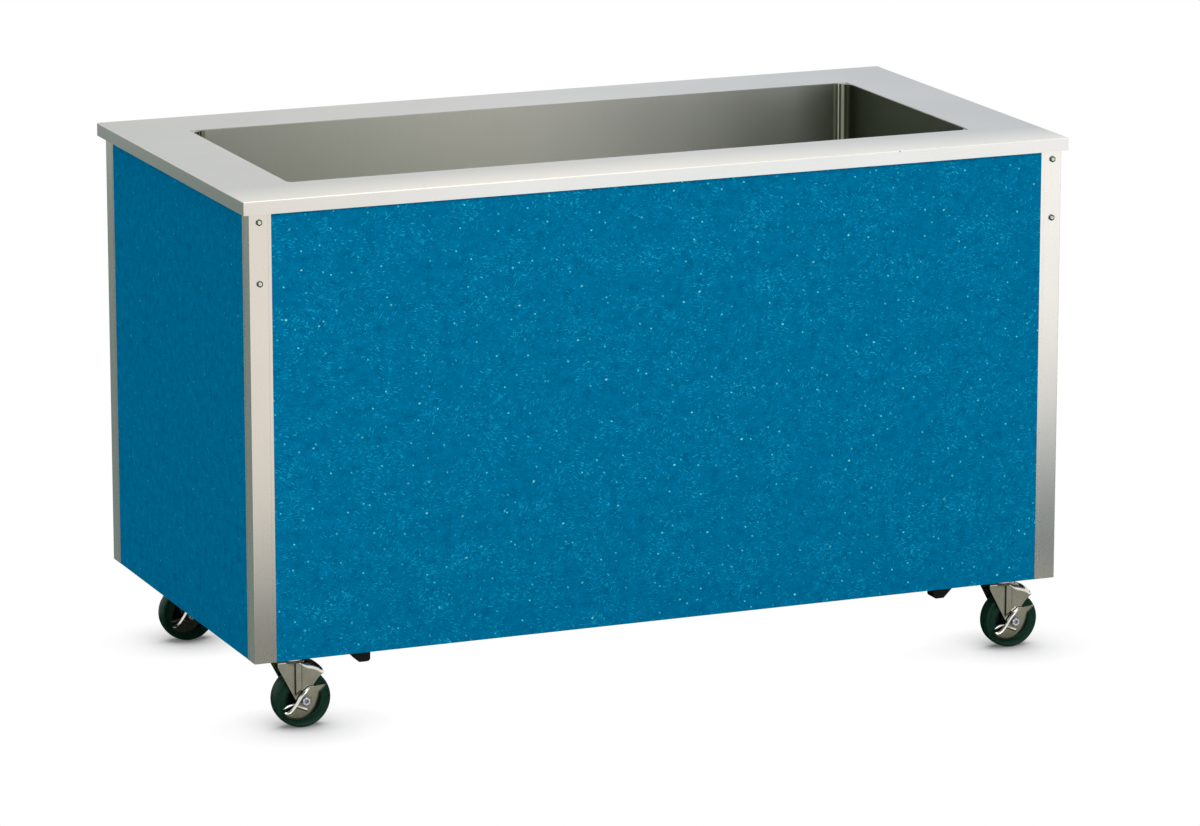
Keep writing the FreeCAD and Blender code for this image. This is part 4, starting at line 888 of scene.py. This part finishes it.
# %% Brake levers
LEVER_BACK = 23.6          # from the middle of the wheel
LEVER_SHEET = 2.5
LEVER_FOLD = 3.8           # how far the flange stands out from the leaf
LEVER_FLANGE = (3.8, 4.6)  # its crest and its foot, from the upper edge
LEVER_HEEL = (-40.0, -17.0)
LEVER_TOE = (40.0, 26.0)
LEVER_TOE_ROOT = (25.0, 12.5)
LEVER_UPPER = [LEVER_HEEL, (-31.5, -16.0), (-24.5, -11.0), (-17.5, -2.5), (-11.0, 7.5), (-4.0, 15.5),
               (7.0, 24.0)]
LEVER_BELLY = [LEVER_HEEL, (-35.5, -23.5), (-28.0, -28.0), (-19.0, -30.6), (-9.0, -31.0), (0.5, -28.6),
               (9.5, -22.0), (16.5, -13.0), (21.0, -3.0), (23.4, 5.0), LEVER_TOE_ROOT]
LEVER_TAB = [(-40.0, -10.5), (-35.0, -7.0), (-28.0, -4.4), (-20.0, -3.2)]
LEVER_TAB_LOWER = [(-40.0, -11.5), (-35.0, -11.3), (-28.0, -9.0), (-20.0, -5.8)]
LEVER_CREASE = [(-18.7, -7.5), (2.0, -16.3)]   # a crease pressed in the leaf below the nut
LEVER_CREASE_RAISE = 1.2


def lever_surfaces():
    """Front and back grids of the leaf, relative to the axle."""
    leaf = 100
    toe = 30
    upper = np.concatenate([smooth_line(LEVER_UPPER, leaf),
                            np.linspace(LEVER_UPPER[-1], LEVER_TOE, toe + 1)[1:]])
    lower = np.concatenate([smooth_line(LEVER_BELLY, leaf),
                            np.linspace(LEVER_TOE_ROOT, LEVER_TOE, toe + 1)[1:]])
    lower[0] = lower[0] + (0.1, -0.5)
    lower[-1] = lower[-1] + (-0.3, -0.6)
    across = np.linspace(0, 1, 64)[None, :, None] ** 1.3
    flat = upper[:, None] * (1 - across) + lower[:, None] * across
    run = np.linspace(0, 1, leaf + toe)
    tall = ease(run, 0.0, 0.16) * (1 - ease(run, 0.62, 0.76))
    reach = np.linalg.norm(flat - upper[:, None], axis=2)
    rise = np.sin(np.pi / 2 * np.clip(reach / LEVER_FLANGE[0], 0, 1))
    fold = LEVER_FOLD * tall[:, None] * rise * (1 - ease(reach, *LEVER_FLANGE))
    start, end = np.array(LEVER_CREASE)
    share = np.clip((flat - start) @ (end - start) / np.sum((end - start) ** 2), 0, 1)
    away = np.linalg.norm(flat - start - share[..., None] * (end - start), axis=2)
    crease = LEVER_CREASE_RAISE * (1 - ease(away, 0.3, 2.2))
    edge = 1.1 * (1 - ease(np.linalg.norm(flat - lower[:, None], axis=2), 0.0, 3.0))
    front = LEVER_BACK + LEVER_SHEET + np.maximum(fold, crease) - edge
    return (np.stack([flat[..., 0], -front, flat[..., 1]], -1),
            np.stack([flat[..., 0], np.full(front.shape, -LEVER_BACK), flat[..., 1]], -1))


def tab_surfaces():
    """The small second tab at the heel, in the same sheet."""
    upper = smooth_line(LEVER_TAB, 30)
    lower = smooth_line(LEVER_TAB_LOWER, 30)
    across = np.linspace(0, 1, 12)[None, :, None]
    flat = upper[:, None] * (1 - across) + lower[:, None] * across
    bulge = 1.5 * np.sin(np.pi * across[..., 0]) + 0 * flat[..., 0]
    front = np.stack([flat[..., 0], -(LEVER_BACK + 1.2 + bulge), flat[..., 1]], -1)
    back = np.stack([flat[..., 0], np.full(bulge.shape, -LEVER_BACK + 1.3), flat[..., 1]], -1)
    return front, back


print("lever points:", lever_surfaces()[0].shape[:2])

# %% [markdown]
# The axle is a bolt.  Both of its hexagons have chamfered corners, and its thread's end
# stands out of the near one.  The posts' bolts have low hexagon heads that are dished in
# the middle, and a nut behind the bracket.

# %% Bolts
AXLE_FLATS = 6.4           # half across the flats
AXLE_LEVELS = [            # along the axle, radius, hexagonal
    (-30.0, 2.6, False), (-30.1, 3.3, False), (-32.6, 3.5, False), (-33.0, 4.6, False), (-32.9, 6.0, True),
    (-32.2, 7.2, True), (-31.0, 8.4, True), (-26.4, 8.4, True), (-26.35, 6.0, False), (21.05, 6.0, False),
    (21.1, 9.0, True), (24.6, 9.0, True), (25.7, 8.2, True), (26.4, 7.0, True), (26.5, 5.0, False)]
BOLT_FLATS = 5.0
NODE_FLATS = 5.8           # of the plain heads that these stand for
BOLT_HEAD = 3.8
BOLT_GRIP = 4.5            # post and bracket
BOLT_NUT = 5.0
BOLT_LEVELS = [
    (-3.75, 2.2, False), (-3.8, 2.6, False), (-3.7, 3.0, False), (-2.6, 4.7, True), (-2.2, 5.4, True),
    (-1.8, 5.9, True), (0.0, 5.9, True), (0.02, 3.0, False), (BOLT_GRIP - 0.02, 3.0, False),
    (BOLT_GRIP, 5.9, True), (BOLT_GRIP + BOLT_NUT - 0.7, 5.9, True),
    (BOLT_GRIP + BOLT_NUT - 0.05, 5.0, True), (BOLT_GRIP + BOLT_NUT, 3.0, False)]


def post_bolts():
    """All the posts' bolts; each one's place is worked out from its node's box."""
    low, high = (np.array(corner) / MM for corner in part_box("post_bolts"))
    corner = NODE_FLATS / math.cos(math.pi / 6)
    inset_x = NODE_FLATS
    solids = []
    for side in (-1, 1):
        x = side * (high[0] - inset_x)
        for end in (-1, 1):
            head = low[1] if end < 0 else high[1]
            for z in (high[2] - corner, low[2] + corner):
                levels = [(-end * along, radius, hexagonal) for along, radius, hexagonal in BOLT_LEVELS]
                solids.append(spindle(levels, BOLT_FLATS, (x, head - end * BOLT_HEAD, z)))
    return solids


add_piece("post_bolts_turned", post_bolts(), bolt_head, "cart", "post_bolts")
print("post bolts in place")

# %% [markdown]
# The pieces of each caster are put in place by a loop.  The swivel's joint gives the
# place of its axis, and the pieces ride on the caster's own swivel, wheel and brake.

# %% Casters
FORK = fork_surfaces()
LEVER = lever_surfaces()
TAB = tab_surfaces()
for joint in frame["record"]["behaviour"]["joints"]:
    if not joint["name"].endswith("_swivel_turn"):
        continue
    name = joint["name"].removesuffix("_swivel_turn")
    swivel = np.array([joint["pos_m"][0], joint["pos_m"][1], 0]) / MM
    axle = swivel + (AXLE_PLACE[0], 0, AXLE_PLACE[1])
    fork = shell(FORK[0] + swivel, FORK[1] + swivel)
    race = lathe(RACE_LATHE, swivel, 2)
    add_piece(name + "_fork_pressed", [fork, race], plated, name + "_swivel", name + "_fork")
    add_piece(name + "_axle_turned", [spindle(AXLE_LEVELS, AXLE_FLATS, axle)],
              finishes["zinc_plated_axle"],
              name + "_swivel", name + "_axle")
    add_piece(name + "_tyre_moulded", [lathe(tyre_profile(), axle, 1, 160)], finishes["rubber_moulded"],
              name + "_wheel", name + "_tyre")
    add_piece(name + "_hub_moulded", [lathe(hub_profile(), axle, 1, 120)],
              finishes["polypropylene_moulded"],
              name + "_wheel", name + "_hub")
    leaf = shell(LEVER[0] + axle, LEVER[1] + axle)
    tab = shell(TAB[0] + axle, TAB[1] + axle)
    boss = lathe([(6.05, -21.3), (9.5, -21.3), (9.5, -23.7), (6.05, -23.7)], axle, 1)
    add_piece(name + "_lever_pressed", [leaf, tab, boss], plated,
              name + "_brake", name + "_brake_lever")
